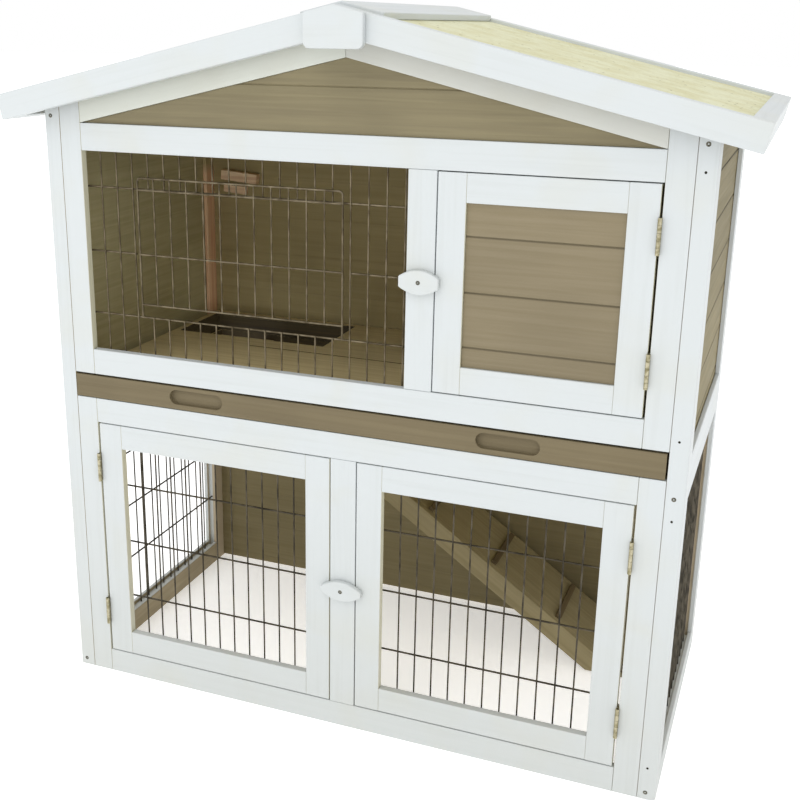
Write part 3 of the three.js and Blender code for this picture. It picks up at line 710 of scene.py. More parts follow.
# ---- geometry nodes -----------------------------------------------------------------------------------------
class Kit:
    """A Geometry Nodes tree under construction, with named inputs and their values."""

    def __init__(self, name: str) -> None:
        """Starts the tree.

        Args:
            name: Name of the tree.
        """
        self.tree = bpy.data.node_groups.new(name, "GeometryNodeTree")
        self.tree.interface.new_socket("Geometry", in_out="INPUT", socket_type="NodeSocketGeometry")
        self.tree.interface.new_socket("Geometry", in_out="OUTPUT", socket_type="NodeSocketGeometry")
        self.source = add_node(self.tree, "NodeGroupInput")
        self.values: dict[str, object] = {}
        self.parts: list[bpy.types.NodeSocket] = []

    def value(self, label: str, kind: str, value: object) -> bpy.types.NodeSocket:
        """Adds a named input.

        Args:
            label: Its name.
            kind: Type of its socket, such as Float.
            value: Its value for this piece.

        Returns:
            The socket inside the tree.
        """
        socket = self.tree.interface.new_socket(label, in_out="INPUT", socket_type="NodeSocket" + kind)
        self.values[socket.identifier] = value
        return next(s for s in self.source.outputs if s.identifier == socket.identifier)

    def rods(self, row: "Row") -> None:
        """Adds a row of equal straight rods.

        Args:
            row: The row.
        """
        tree, title = self.tree, row.title
        points = add_node(tree, "GeometryNodeMeshLine", {
            "Count": self.value(f"{title} count", "Int", row.count),
            "Start Location": self.value(f"{title} start", "Vector", [v * MM for v in row.start]),
            "Offset": self.value(f"{title} step", "Vector", [v * MM for v in row.step])}, mode="OFFSET")
        line = add_node(tree, "GeometryNodeCurvePrimitiveLine", {
            "End": self.value(f"{title} run", "Vector", [v * MM for v in row.run])})
        rod = self.tube(line.outputs[0], f"{title} radius", row.radius, row.sides)
        put = add_node(tree, "GeometryNodeInstanceOnPoints", {"Points": points.outputs[0], "Instance": rod})
        self.parts.append(put.outputs[0])

    def tube(self, curve: bpy.types.NodeSocket, title: str, radius: float, sides: int) -> bpy.types.NodeSocket:
        """Gives a curve its thickness.

        Args:
            curve: The curve.
            title: Name of the input for the radius.
            radius: Radius in mm.
            sides: Sides of the tube.

        Returns:
            The tube, with closed ends.
        """
        ring = add_node(self.tree, "GeometryNodeCurvePrimitiveCircle", {
            "Resolution": sides, "Radius": self.value(title, "Float", radius * MM)})
        swept = add_node(self.tree, "GeometryNodeCurveToMesh", {"Curve": curve, "Profile Curve": ring.outputs[0],
                                                               "Fill Caps": True})
        return swept.outputs[0]

    def path(self, radius: float, sides: int = 8) -> None:
        """Adds a tube along the edges of the object's own mesh.

        Args:
            radius: Radius in mm.
            sides: Sides of the tube.
        """
        curve = add_node(self.tree, "GeometryNodeMeshToCurve", {"Mesh": self.source.outputs[0]})
        self.parts.append(self.tube(curve.outputs[0], "path radius", radius, sides))

    def heads(self, head: bpy.types.Object, turn: Triple, seed: int) -> None:
        """Puts a head on every vertex of the object's own mesh, each turned by chance about its own axis.

        Args:
            head: The head, pointing up.
            turn: Turn of the whole head, in radians.
            seed: Fixed seed for the chance.
        """
        tree = self.tree
        shape = add_node(tree, "GeometryNodeObjectInfo", {"Object": self.value("head", "Object", head)})
        chance = add_node(tree, "FunctionNodeRandomValue", {
            2: 0.0, 3: math.tau, "Seed": self.value("seed", "Int", seed)}, data_type="FLOAT")
        spin = add_node(tree, "ShaderNodeCombineXYZ", {"Z": chance.outputs[1]})
        faced = add_node(tree, "FunctionNodeRotateEuler", {
            0: spin.outputs[0], 1: self.value("turn", "Vector", list(turn))}, space="OBJECT")
        put = add_node(tree, "GeometryNodeInstanceOnPoints", {
            "Points": self.source.outputs[0], "Instance": shape.outputs["Geometry"],
            "Rotation": faced.outputs[0]})
        self.parts.append(put.outputs[0])

    def build(self, name: str, finish: Finish, points: Sequence[Triple] = (), closed: bool | None = None,
              smooth: bool = True) -> bpy.types.Object:
        """Ends the tree, runs it on an object and keeps the result as a plain mesh.

        Args:
            name: Name of the object.
            finish: Its finish.
            points: Vertices of the object's own mesh, in mm.
            closed: None for loose points, or whether the path that joins them closes.
            smooth: Whether round faces are shaded smooth.

        Returns:
            The finished object.
        """
        tree = self.tree
        joined = add_node(tree, "GeometryNodeJoinGeometry")
        for part in reversed(self.parts):
            tree.links.new(part, joined.inputs[0])
        real = add_node(tree, "GeometryNodeRealizeInstances", {0: joined.outputs[0]})
        coat = add_node(tree, "GeometryNodeSetMaterial", {
            "Geometry": real.outputs[0], "Material": self.value("finish", "Material", finish.material())})
        add_node(tree, "NodeGroupOutput", {0: coat.outputs[0]})
        mesh = bpy.data.meshes.new(name)
        count = len(points)
        edges = [] if closed is None else [(i, (i + 1) % count) for i in range(count if closed else count - 1)]
        mesh.from_pydata([[v * MM for v in p] for p in points], edges, [])
        made = new_object(name, mesh)
        modifier = made.modifiers.new("kit", "NODES")
        modifier.node_group = tree
        for identifier, value in self.values.items():
            modifier[identifier] = value
        graph = bpy.context.evaluated_depsgraph_get()
        result = bpy.data.meshes.new_from_object(made.evaluated_get(graph), preserve_all_data_layers=True,
                                                 depsgraph=graph)
        made.modifiers.clear()
        made.data = result
        result.name = name
        if smooth:
            result.polygons.foreach_set("use_smooth", [True] * len(result.polygons))
            result.set_sharp_from_angle(angle=math.radians(40))
        return made


@dataclass(frozen=True)
class Row:
    """A row of equal straight rods, in mm."""

    title: str
    start: Triple
    step: Triple
    count: int
    run: Triple
    radius: float
    sides: int = 8


def rows_piece(name: str, rows: Iterable[Row], finish: Finish) -> bpy.types.Object:
    """Makes one object of several rows of rods.

    Args:
        name: Name of the object.
        rows: The rows.
        finish: Their finish.

    Returns:
        The object.
    """
    kit = Kit(name + "_rows")
    for row in rows:
        kit.rods(row)
    return kit.build(name, finish)


def span(node: str) -> tuple[Triple, Triple]:
    """Gives a CAD node's box.

    Args:
        node: The node.

    Returns:
        Its lowest and highest corners in mm.
    """
    low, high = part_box(node)
    return tuple(v / MM for v in low), tuple(v / MM for v in high)


# ---- wire ---------------------------------------------------------------------------------------------------
@dataclass(frozen=True)
class WeldedWire:
    """Sizes of welded wire sheet: thin uprights 25.4 mm apart with thicker level wires welded behind them."""

    upright: float = 1.2
    level: float = 1.4
    pitch: float = 25.4
    sunk: float = 0.6
    staple: float = 0.6

    def door_rows(self, frame_node: str, member: float, lap: float, front: float) -> list[Row]:
        """Lays out the sheet behind a door frame.

        Args:
            frame_node: The door frame's node.
            member: Width of the frame's members.
            lap: How far the sheet runs behind the frame.
            front: Y of the sheet's front.

        Returns:
            Uprights, level wires, and the staples that hold the sheet.
        """
        (x0, _, z0), (x1, _, z1) = span(frame_node)
        count = int((x1 - x0 - 2 * member) / self.pitch)
        first = (x0 + x1 - (count - 1) * self.pitch) / 2
        left, right = x0 + member - lap, x1 - member + lap
        foot, head = z0 + member - lap, z1 - member + lap
        y_up = front + self.upright
        y_level = front + 2 * self.upright - self.sunk + self.level
        rows = [Row("upright", (first, y_up, foot), (self.pitch, 0, 0), count, (0, 0, head - foot), self.upright),
                Row("level", (left, y_level, DOOR_LEVELS[0]), (0, 0, DOOR_LEVELS[1]), 3, (right - left, 0, 0),
                    self.level)]
        y_staple = y_level + self.level + self.staple * 0.6
        for title, z in (("foot staple", foot + 2), ("head staple", head - 5)):
            rows.append(Row(title, (first + 0.5 * self.pitch - 5, y_staple - 1.6, z), (self.pitch * 3, 0, 0),
                            max(2, count // 3), (10, 0, 0), self.staple, 6))
        return rows


SHEET = WeldedWire()
FRONT = span("lower_bottom_rail")[0][1]        # Y of the body's front face
DOOR_MEMBER = 37.0
LAP = 8.0
WIRE_FRONT = FRONT + 12.3
DOOR_LEVELS = (135.0, 93.5)      # lowest level wire of the lower doors, and the step to the next
SIDE_LEVELS = (130.0, 94.0)


# ---- sub-assemblies -----------------------------------------------------------------------------------------
@dataclass
class SidePanel:
    """One side: two posts, two rails, boarding above and wire below."""

    side: int
    board: float = 66.0
    clear: float = 379.0
    middle: float = 445.5

    def build(self) -> None:
        """Builds the panel's wood, boarding and wire."""
        name = "left" if self.side < 0 else "right"
        inward = -self.side * TO_RIGHT
        for post, inner in (("front_post", STAIN_INSIDE), ("rear_post", BARE)):
            made = eased(f"{name}_{post}", WHITE_UP, "carcass", "white_frame")
            coat_faces(made, inward, inner)
            if post == "rear_post":
                coat_faces(made, TO_FRONT, inner, self.middle)
        for rail in ("bottom_rail", "mid_rail"):
            made = eased(f"{name}_{rail}", WHITE_BACK, "carcass", "white_frame", 1.4)
            coat_faces(made, inward, STAIN_RAIL)
        top = span(f"{name}_cladding")[1][2]
        # seam darkens the joints: painted shade in the grooves.
        stain = StainedSoftwood(f"stained_{name}_side_boarding", Run.BACK, joint=top, board=self.board,
                                light="#867b59", dark="#7a704e", seam=0.4)
        # Painted light: the inner face gets a much lighter copy of the boarding's stain, to make up for the shade
        # inside the hutch.
        inside = StainedSoftwood(f"stained_{name}_side_boarding_inside", Run.BACK, joint=top, board=self.board,
                                 light="#bfb68c", dark="#afa67d", spread=0.05)
        boards = eased(f"{name}_cladding", stain, "carcass", "taupe_boarding", 0.3)
        close_joints(boards, inward)
        coat_faces(boards, inward, inside)
        self.wire(name)

    def wire(self, name: str) -> None:
        """Lays the wire in the panel's grooves.

        Args:
            name: The panel's name.
        """
        node = f"{name}_mesh"
        (x0, y0, z0), (x1, y1, z1) = span(node)
        count = int(self.clear / SHEET.pitch)
        middle = (y0 + y1) / 2
        outer = self.side * max(abs(x0), abs(x1))
        x_up = outer - self.side * SHEET.upright
        x_level = outer - self.side * (2 * SHEET.upright - SHEET.sunk + SHEET.level)
        first = middle - (count - 1) * SHEET.pitch / 2
        rows = [Row("upright", (x_up, first, z0), (0, SHEET.pitch, 0), count, (0, 0, z1 - z0), SHEET.upright),
                Row("level", (x_level, y0, SIDE_LEVELS[0]), (0, 0, SIDE_LEVELS[1]), 3, (0, y1 - y0, 0),
                    SHEET.level)]
        place(rows_piece(f"{name}_side_wire", rows, WIRE), "carcass", "galvanised_wire", [node])


@dataclass
class FrontFrames:
    """The fixed frames of both storeys and the sloping boards over them."""

    def build(self) -> None:
        """Builds stiles, rails, mullions, gable boards and gable boarding."""
        for storey in ("lower", "upper"):
            for side in ("left", "right"):
                made = eased(f"{storey}_{side}_stile", WHITE_UP, "carcass", "white_frame")
                coat_faces(made, TO_RIGHT if side == "left" else -TO_RIGHT, UNDERCOAT)
            eased(f"{storey}_mullion", WHITE_UP, "carcass", "white_frame")
            for rail in ("top_rail", "bottom_rail"):
                eased(f"{storey}_{rail}", WHITE_ACROSS, "carcass", "white_frame")
        for side, name in ((-1, "left"), (1, "right")):
            # The trims take the copies of the white paint with painted shade under the fascias.
            eased(f"gable_trim_{name}", WHITE_SHADED[side], "carcass", "white_frame")
        boards = StainedSoftwood("stained_gable_boarding", Run.ACROSS, joint=925.0, board=300.0, spread=0.03,
                                 light="#837a5e", dark="#786f56")
        eased("gable_panel", boards, "carcass", "taupe_boarding", 0.3)


@dataclass
class Window:
    """The wire window: a sheet with a way cut through it, and the wire door that covers the way."""

    first: float = -378.0
    wires: int = 19
    cut_from: int = 3
    cut_count: int = 12
    levels: Triple = (591.5, 684.0, 776.5)
    rim: float = 1.5
    corner: float = 7.0
    bars: int = 11
    foot: float = 18.0

    def build(self) -> None:
        """Builds the window's sheet and its door."""
        self.sheet()
        self.door()

    def sheet(self) -> None:
        """Lays the fixed sheet, with wires left out at the way through it."""
        (x0, y0, z0), (x1, _, z1) = span("window_mesh")
        low, middle, high = self.levels
        y_up = y0 + SHEET.upright
        y_level = y0 + 2 * SHEET.upright - SHEET.sunk + SHEET.level
        step = (SHEET.pitch, 0, 0)
        after = self.cut_from + self.cut_count

        def at(index: int) -> float:
            """Gives the x of an upright wire."""
            return self.first + SHEET.pitch * index

        def upright(title: str, index: int, count: int, bottom: float, top: float) -> Row:
            """Gives a row of upright wires."""
            return Row(title, (at(index), y_up, bottom), step, count, (0, 0, top - bottom), SHEET.upright)

        def level(title: str, left: float, right: float, z: float, gap: float, count: int) -> Row:
            """Gives a row of level wires."""
            return Row(title, (left, y_level, z), (0, 0, gap), count, (right - left, 0, 0), SHEET.level)

        rows = [upright("left upright", 0, self.cut_from, z0, z1),
                upright("right upright", after, self.wires - after, z0, z1),
                upright("lower short", self.cut_from, self.cut_count, z0, low + SHEET.level),
                upright("upper short", self.cut_from, self.cut_count, high - SHEET.level, z1),
                level("full level", x0, x1, low, high - low, 2),
                level("left level", x0, at(self.cut_from - 1) + SHEET.upright, middle, 1.0, 1),
                level("right level", at(after) - SHEET.upright, x1, middle, 1.0, 1)]
        place(rows_piece("window_wire", rows, WINDOW_WIRE), "carcass", "galvanised_wire", ["window_mesh"])

    def door(self) -> None:
        """Bends the wire door's rim and sets its bars and hanging loops."""
        (x0, y0, z0), (x1, y1, z1) = span("wire_door")
        rim, corner = self.rim, self.corner
        y = (y0 + y1) / 2
        left, right, top = x0 + rim, x1 - rim, z1 - rim
        bend = corner - rim
        turns = [i * math.pi / 12 for i in range(7)]
        path = [(right, y, z0)]
        path += [(right - bend + bend * math.cos(a), y, top - bend + bend * math.sin(a)) for a in turns]
        path += [(left + bend - bend * math.sin(a), y, top - bend + bend * math.cos(a)) for a in turns]
        path += [(left, y, z0)]
        pitch = (right - left) / (self.bars + 1)
        floor = z0 + self.foot
        levels = (floor, floor + (z1 - z0 - self.foot) * 0.4, z1 - self.foot)
        kit = Kit("wire_door_kit")
        kit.path(rim)
        kit.rods(Row("bar", (left + pitch, y - 0.4, floor), (pitch, 0, 0), self.bars, (0, 0, top - floor), 1.2))
        for title, z in zip(("low rail", "middle rail", "high rail"), levels):
            kit.rods(Row(title, (left, y + 0.2, z), (0, 0, 1), 1, (right - left, 0, 0), 1.4))
        piece = kit.build("wire_door_bent", WINDOW_WIRE, path, False)
        place(piece, "wire_door", "galvanised_wire", ["wire_door"])


@dataclass
class ButtHinge:
    """A small steel butt hinge: five knuckles on a pin, and a leaf for each side."""

    name: str
    door: str
    frame_node: str
    side: int
    knuckles: int = 5
    radius: float = 2.7
    pin: float = 1.4
    gap: float = 0.4
    leaf: float = 0.9
    bend: float = 4.0

    def build(self) -> None:
        """Builds the fixed half and the half that swings."""
        (_, y0, z0), (_, y1, z1) = span(self.name)
        edges = span(self.frame_node)
        edge = edges[1][0] if self.side > 0 else edges[0][0]
        seam = edge + self.side * 1.5
        y = y0 + self.radius + 0.6
        pitch = (z1 - z0) / self.knuckles
        for label, first, count, body, sign in (("fixed", 0, 3, "carcass", 1), ("swinging", 1, 2, self.door, -1)):
            kit = Kit(f"{self.name}_{label}_kit")
            kit.rods(Row("knuckle", (seam, y, z0 + first * pitch + self.gap / 2), (0, 0, 2 * pitch), count,
                         (0, 0, pitch - self.gap), self.radius, 14))
            kit.rods(Row("pin", (seam, y, z0 + 0.2), (0, 0, 1), 1, (0, 0, z1 - z0 - 0.4), self.pin, 10))
            knuckles = kit.build(f"{self.name}_{label}", HINGE)
            x0 = seam + sign * self.side * (1.2 - self.leaf)
            xs = sorted((x0, x0 + sign * self.side * self.leaf))
            plate = Joinery(0.2, 1)
            for i in range(count):
                low = z0 + (first + 2 * i) * pitch + self.gap / 2
                plate.block((xs[0], y + 0.5, low), (xs[1], y + self.bend + 0.2, low + pitch - self.gap), HINGE)
            plate.block((xs[0], y + self.bend, z0 + 0.5), (xs[1], y1, z1 - 0.5), HINGE)
            leaf = plate.piece(f"{self.name}_{label}_leaf")
            place(knuckles, body, "hinge_steel", [self.name] if sign > 0 else [])
            place(leaf, body, "hinge_steel")


@dataclass
class Leaf:
    """A door leaf: two full-height stiles with two slightly thinner rails between them, filled with boards or
    wire."""

    name: str
    side: int
    boarded: bool = False
    member: float = DOOR_MEMBER
    thinner: float = 0.2
    top_cut: float = 42.0
    board: float = 72.0

    def build(self) -> None:
        """Builds the leaf's frame, its filling and its two hinges."""
        node = f"{self.name}_frame"
        (x0, y0, z0), (x1, y1, z1) = span(node)
        m = self.member
        front, rear = y0 + self.thinner, y1 - self.thinner
        wood = Joinery(0.9)
        wood.block((x0, y0, z0), (x0 + m, y1, z1), WHITE_UP)
        wood.block((x1 - m, y0, z0), (x1, y1, z1), WHITE_UP)
        wood.block((x0 + m, front, z0), (x1 - m, rear, z0 + m), WHITE_ACROSS)
        wood.block((x0 + m, front, z1 - m), (x1 - m, rear, z1), WHITE_ACROSS)
        made = place(wood.piece(f"{self.name}_members"), self.name, "white_door", [node])
        coat_faces(made, TO_RIGHT, UNDERCOAT)
        if self.boarded:
            self.boards()
        else:
            rows = SHEET.door_rows(node, m, LAP, WIRE_FRONT)
            place(rows_piece(f"{self.name}_wire", rows, WIRE), self.name, "galvanised_wire", [f"{self.name}_mesh"])
        for level in ("upper", "lower"):
            ButtHinge(f"{self.name}_{level}_hinge", self.name, node, self.side).build()

    def boards(self) -> None:
        """Fills the leaf with boarding whose uppermost board is cut down to fit."""
        top = span(f"{self.name}_panel")[1][2]
        # seam darkens the joints: painted shade in the grooves.
        stain = StainedSoftwood("stained_nest_door_boarding", Run.ACROSS, joint=top - self.top_cut,
                                board=self.board, spread=0.05, light="#867b63", dark="#7f745b", seam=0.65)
        eased(f"{self.name}_panel", stain, self.name, "taupe_boarding", 0.3)


@dataclass
class TurnButton:
    """A lens-shaped turn button with a screw through its middle."""

    name: str

    def build(self) -> None:
        """Builds the button and its screw."""
        eased(self.name, WHITE_ACROSS, self.name, "white_button", 1.4)
        low, high = span(self.name)
        middle = ((low[0] + high[0]) / 2, low[1], (low[2] + high[2]) / 2)
        screws = Fixings(f"{self.name}_screw", [middle], 2.9, SCREW, 7)
        screws.build(self.name, "hinge_steel")


@dataclass
class Fixings:
    """Heads of screws or nails on faces that look forward."""

    name: str
    places: list[Triple]
    radius: float
    finish: Finish
    seed: int
    recess: bool = True
    rise: float = 0.5
    sides: int = 16

    def head(self) -> bpy.types.Object:
        """Builds one head, pointing up, with a cross recess if it is a screw's.

        Returns:
            The head.
        """
        plain, star = (1.0, 1.0, 1.0, 1.0), (1.0, 0.6, 0.42, 0.6)
        rings = [(1.0, -0.3, plain), (1.0, 0.4 * self.rise, plain), (0.8, self.rise, plain)]
        if self.recess:
            rings += [(0.5, self.rise, star), (0.3, self.rise - 0.9, star)]
        angles = [i * math.tau / self.sides for i in range(self.sides)]
        shape = bmesh.new()
        made = []
        for scale, z, form in rings:
            reach = [self.radius * scale * form[i % 4] * MM for i in range(self.sides)]
            made.append([shape.verts.new((r * math.cos(a), r * math.sin(a), z * MM)) for r, a in zip(reach, angles)])
        for lower, upper in zip(made, made[1:]):
            for i in range(self.sides):
                j = (i + 1) % self.sides
                shape.faces.new((lower[i], lower[j], upper[j], upper[i]))
        shape.faces.new(made[-1])
        shape.faces.new(list(reversed(made[0])))
        mesh = bpy.data.meshes.new("head")
        shape.to_mesh(mesh)
        shape.free()
        return new_object("head", mesh)

    def build(self, body: str, slot: str) -> None:
        """Sets a head at every place.

        Args:
            body: The body that the heads ride on.
            slot: Their material slot.
        """
        head = self.head()
        kit = Kit(self.name + "_kit")
        kit.heads(head, (math.pi / 2, 0.0, 0.0), self.seed)
        piece = kit.build(self.name, self.finish, self.places, smooth=False)
        bpy.data.objects.remove(head)
        place(piece, body, slot)


@dataclass
class PostFixings:
    """Screws and nails in the front edges of the side panels."""

    inset: float = 13.5
    left_shift: float = 4.0
    screws: tuple[float, ...] = (874.0, 439.0, 11.0)
    nails: tuple[float, ...] = (842.0, 515.0, 409.0, 49.0)

    def build(self) -> None:
        """Sets screws and nails on the right, and the two screws that show on the left."""
        edge = span("right_front_post")[1][0] - self.inset
        for name, heights, radius, finish, recess in (("post_screws", self.screws, 3.0, SCREW, True),
                                                      ("post_nails", self.nails, 1.6, NAIL, False)):
            places = [(edge, FRONT, z) for z in heights]
            if recess:
                places += [(-edge - self.left_shift, FRONT, z) for z in (heights[0], heights[-1])]
            Fixings(name, places, radius, finish, 11, recess, 0.3).build("carcass", "hinge_steel")


@dataclass
class Tray:
    """The pull-out tray between the storeys. Its front is planed to leave some play above and at the right. Its
    deck is two sheets, with a dark seam between them that ends at the hatch."""

    play: float = 1.4
    edge: Pair = (8.0, 4.0)
    inside: float = 424.0
    seam: float = 242.5
    seam_from: float = -269.0
    seam_width: float = 2.8

    def build(self) -> None:
        """Builds the tray's front with its two finger recesses, and its pan."""
        front = eased("tray_front", STAIN_TRAY, "tray", "taupe_tray", 1.0)
        _, (x1, _, z1) = span("tray_front")
        for vertex in front.data.vertices:
            vertex.co.x -= self.play * MM if vertex.co.x > (x1 - self.edge[0]) * MM else 0.0
            vertex.co.z -= self.play * MM if vertex.co.z > (z1 - self.edge[1]) * MM else 0.0
        pan = eased("tray_pan", STAIN_SHEET, "tray", "taupe_tray", 0.6)
        # Painted shade: the pan's front-facing cut faces, and the right-facing ones within inside, are painted very
        # dark.
        coat_faces(pan, TO_FRONT, SEAM_STAIN_AND_EDGE_SHADE)
        coat_faces(pan, TO_RIGHT, SEAM_STAIN_AND_EDGE_SHADE, self.inside)
        _, (x1, _, z1) = span("tray_pan")
        y = FRONT + self.seam
        seam = Joinery(0.0).block((self.seam_from, y, z1 - 0.6), (x1 - 3, y + self.seam_width, z1 + 0.15), SEAM_STAIN_AND_EDGE_SHADE)
        place(seam.piece("tray_deck_seam"), "tray", "taupe_tray")


@dataclass
class Ramp:
    """The ramp: a deck between two side rails, with cleats nailed across it."""

    slope: float = 34.5
    pivot: Pair = (-303.5, 446.5)
    start: float = 9.0
    lift: float = 14.0
    deck: float = 12.0
    rail: float = 34.0
    rail_thick: float = 12.0
    ground: float = 3.0
    cleat: Triple = (9.0, 6.0, 134.0)
    first: float = 127.0
    cleats: int = 6

    def lean(self) -> Pair:
        """Gives the sine and the cosine of the slope."""
        return math.sin(math.radians(self.slope)), math.cos(math.radians(self.slope))

    def at(self, along: float, rise: float) -> Pair:
        """Gives a point on the ramp.

        Args:
            along: Distance down the slope from the pivot.
            rise: Distance square to the slope.

        Returns:
            Its x and z.
        """
        sin, cos = self.lean()
        return self.pivot[0] + along * cos + rise * sin, self.pivot[1] - along * sin + rise * cos

    def strip(self, low: float, high: float) -> list[Pair]:
        """Gives the outline of a board that runs the ramp's whole length.

        Args:
            low: Its underside, square to the slope.
            high: Its upper side.

        Returns:
            Four corners, the last two of them cut level at the ground.
        """
        sin, cos = self.lean()
        end_low, end_high = ((self.pivot[1] - self.ground + r * cos) / sin for r in (low, high))
        return [self.at(self.start, low), self.at(end_low, low), self.at(end_high, high), self.at(self.start, high)]

    def build(self) -> None:
        """Builds the boards and the cleats."""
        (_, y0, _), (_, y1, _) = span("ramp")
        stain = StainedSoftwood("stained_ramp_softwood", Run.ACROSS, -self.slope, light="#958967", dark="#877b59")
        wood = Joinery(0.8)
        thick = self.rail_thick
        wood.prism(self.strip(self.lift - self.deck, self.lift), Plane.FRONT, y0 + thick, y1 - thick, stain)
        for y in (y0, y1 - thick):
            wood.prism(self.strip(self.lift - self.rail, self.lift), Plane.FRONT, y, y + thick, stain)
        place(wood.piece("ramp_boards"), "ramp", "taupe_inside", ["ramp"])
        width, height, pitch = self.cleat
        start = self.at(self.first + width / 2, self.lift + height / 2 - 0.6)
        sin, cos = self.lean()
        kit = Kit("ramp_cleat_kit")
        tree = kit.tree
        points = add_node(tree, "GeometryNodeMeshLine", {
            "Count": kit.value("cleats", "Int", self.cleats),
            "Start Location": kit.value("first cleat", "Vector", [start[0] * MM, (y0 + y1) / 2 * MM, start[1] * MM]),
            "Offset": kit.value("cleat step", "Vector", [pitch * cos * MM, 0.0, -pitch * sin * MM])}, mode="OFFSET")
        cube = add_node(tree, "GeometryNodeMeshCube", {
            "Size": kit.value("cleat size", "Vector", [width * MM, (y1 - y0 - 2 * thick) * MM, height * MM])})
        put = add_node(tree, "GeometryNodeInstanceOnPoints", {
            "Points": points.outputs[0], "Instance": cube.outputs[0],
            "Rotation": kit.value("cleat turn", "Rotation", [0.0, math.radians(self.slope), 0.0])})
        kit.parts.append(put.outputs[0])
        # Painted shade: the cleats get a darker stain, for the shadow lines they cast across the ramp.
        shaded_cleat_stain = StainedSoftwood("stained_cleats", Run.BACK, light="#6b5c40", dark="#54472f")
        place(kit.build("ramp_cleats", shaded_cleat_stain, smooth=False), "ramp", "taupe_inside")


@dataclass
class Inside:
    """Back boarding, floor, partition and the two blocks on the back boarding, which are nailed on askew."""

    board: float = 66.0
    askew: float = 4.5

    def build(self) -> None:
        """Builds everything inside the hutch."""
        top = span("back_panel")[1][2]
        # seam darkens the joints: painted shade in the grooves.
        boards = StainedSoftwood("stained_back_boarding", Run.ACROSS, joint=top, board=self.board, seam=0.55)
        back = eased("back_panel", boards, "carcass", "taupe_boarding", 0.3)
        # Inner face: lower halves the tone below the upper floor, painted shade in the run; seam paints faint shade
        # in the joints.
        inner = StainedSoftwood("stained_back_boarding_inside", Run.ACROSS, joint=top, board=self.board,
                                spread=0.04, lower=0.5, seam=0.93, light="#a8996f", dark="#9d8f64")
        close_joints(back, TO_FRONT)
        coat_faces(back, TO_FRONT, inner)
        floor = eased("upper_floor", STAIN_SHEET, "carcass", "taupe_inside", 0.6)
        # Painted shade: the floor's front- and right-facing cut faces, round the hatch too, are painted very dark.
        coat_faces(floor, TO_FRONT, SEAM_STAIN_AND_EDGE_SHADE)
        coat_faces(floor, TO_RIGHT, SEAM_STAIN_AND_EDGE_SHADE)
        eased("nest_partition", STAIN_BACK, "carcass", "taupe_inside", 0.6)
        for level in ("upper", "lower"):
            block = eased(f"{level}_wall_block", BARE_ACROSS, "carcass", "bare_softwood", 1.5)
            middle = sum((v.co for v in block.data.vertices), Vector()) / len(block.data.vertices)
            turn = Matrix.Rotation(math.radians(self.askew), 4, "Y")
            block.data.transform(Matrix.Translation(middle) @ turn @ Matrix.Translation(-middle))


@dataclass
class Roof:
    """Two decks under one bent sheet of felt, edged with white boards and capped at the ridge."""

    def build(self) -> None:
        """Builds decks, felt, fascias, eave boards, ridge cap and ridge block."""
        for side, name in ((-1, "left"), (1, "right")):
            white = WHITE_SLOPE[side]
            eased(f"front_fascia_{name}", white, "carcass", "white_roof_trim", 1.3)
            eased(f"rear_fascia_{name}", white, "carcass", "white_roof_trim", 1.3)
            eased(f"eave_board_{name}", WHITE_BACK, "carcass", "white_roof_trim", 1.3)
            eased(f"roof_deck_{name}", STAIN_BACK, "carcass", "roof_deck_ply", 0.3)
        eased("roof_felt", FELT, "carcass", "mineral_felt", 0.3)
        eased("ridge_cap", WHITE_BACK, "carcass", "white_roof_trim", 1.3)
        eased("ridge_block", WHITE_ACROSS, "carcass", "white_roof_trim", 1.6)


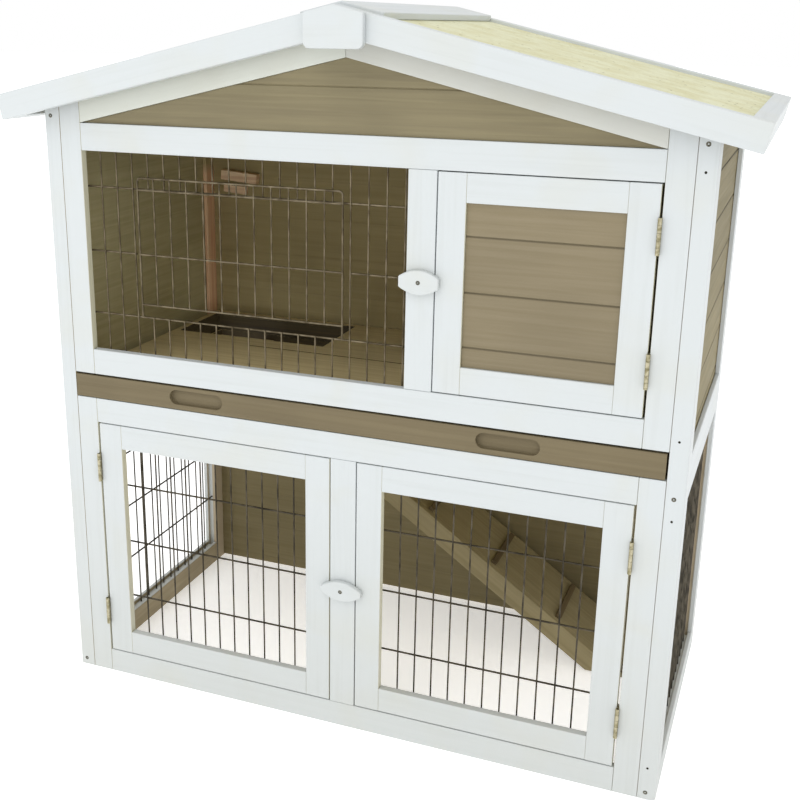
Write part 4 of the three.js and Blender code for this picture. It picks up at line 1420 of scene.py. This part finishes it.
# ---- studio -------------------------------------------------------------------------------------------------
@dataclass
class Studio:
    """A plain pale floor, soft light and the camera.

    The camera's turn is in radians, its place in mm and its shift in widths of the view. Lamps hold a name, and
    then their place, width and power in metres and watts.
    """

    yaw: float = -0.382196
    pitch: float = 0.299193
    roll: float = 0.008024
    place: Triple = (561.7, -1595.0, 1001.8)
    lens: float = 51.6447
    shift: Pair = (0.061975, -0.028925)
    floor_half: float = 30.0
    lamps: tuple[tuple[str, Triple, float, float], ...] = (("key", (-0.3, -3.0, 4.0), 3.0, 42.0),
                                                           ("fill", (-2.6, -2.6, 1.6), 2.0, 6.0))
    aim: Triple = (0.0, 0.0, 0.5)

    def build(self) -> None:
        """Sets up the floor, the lights and the camera."""
        self.floor()
        self.light()
        self.camera()

    def floor(self) -> None:
        """Lays the floor."""
        mesh = bpy.data.meshes.new("studio_floor")
        half = self.floor_half
        mesh.from_pydata([(-half, -half, 0), (half, -half, 0), (half, half, 0), (-half, half, 0)], [],
                         [(0, 1, 2, 3)])
        mesh.materials.append(StudioFloor("pale_studio_floor").material())
        new_object("studio_floor", mesh)

    def light(self) -> None:
        """Hangs a large soft key lamp and a weak fill, in a white room."""
        world = bpy.data.worlds.new("white_room")
        bpy.context.scene.world = world
        world.use_nodes = True
        background = world.node_tree.nodes["Background"]
        background.inputs["Color"].default_value = linear("#ffffff")
        background.inputs["Strength"].default_value = 1.0
        for name, where, size, power in self.lamps:
            lamp = bpy.data.lights.new(name, "AREA")
            lamp.size, lamp.energy = size, power
            holder = bpy.data.objects.new(name, lamp)
            holder.location = where
            holder.rotation_euler = (Vector(self.aim) - Vector(where)).to_track_quat("-Z", "Y").to_euler()
            bpy.context.scene.collection.objects.link(holder)
        bpy.context.scene.view_settings.view_transform = "Standard"

    def camera(self) -> None:
        """Sets the camera at its place, with its turn, lens and shift."""
        ahead = Vector((math.sin(self.yaw) * math.cos(self.pitch), math.cos(self.yaw) * math.cos(self.pitch),
                        -math.sin(self.pitch)))
        level = Vector((math.cos(self.yaw), -math.sin(self.yaw), 0.0))
        upward = level.cross(ahead)
        right = level * math.cos(self.roll) + upward * math.sin(self.roll)
        up = upward * math.cos(self.roll) - level * math.sin(self.roll)
        data = bpy.data.cameras.new("camera")
        data.lens = self.lens
        data.shift_x, data.shift_y = self.shift
        holder = bpy.data.objects.new("camera", data)
        bpy.context.scene.collection.objects.link(holder)
        turn = Matrix((right, up, -ahead)).transposed().to_4x4()
        holder.matrix_world = Matrix.Translation([v * MM for v in self.place]) @ turn
        bpy.context.scene.camera = holder


def main() -> None:
    """Builds every sub-assembly in order."""
    logging.basicConfig(level=logging.INFO, format="%(name)s %(message)s")
    assemblies = [SidePanel(-1), SidePanel(1), FrontFrames(), Window(), Leaf("nest_door", 1, True),
                  Leaf("left_door", -1), Leaf("right_door", 1), TurnButton("upper_turn_button"),
                  TurnButton("lower_turn_button"), PostFixings(), Tray(), Ramp(), Inside(), Roof(), Studio()]
    for assembly in assemblies:
        LOG.info("building %s", type(assembly).__name__)
        assembly.build()


if __name__ == "__main__":
    main()
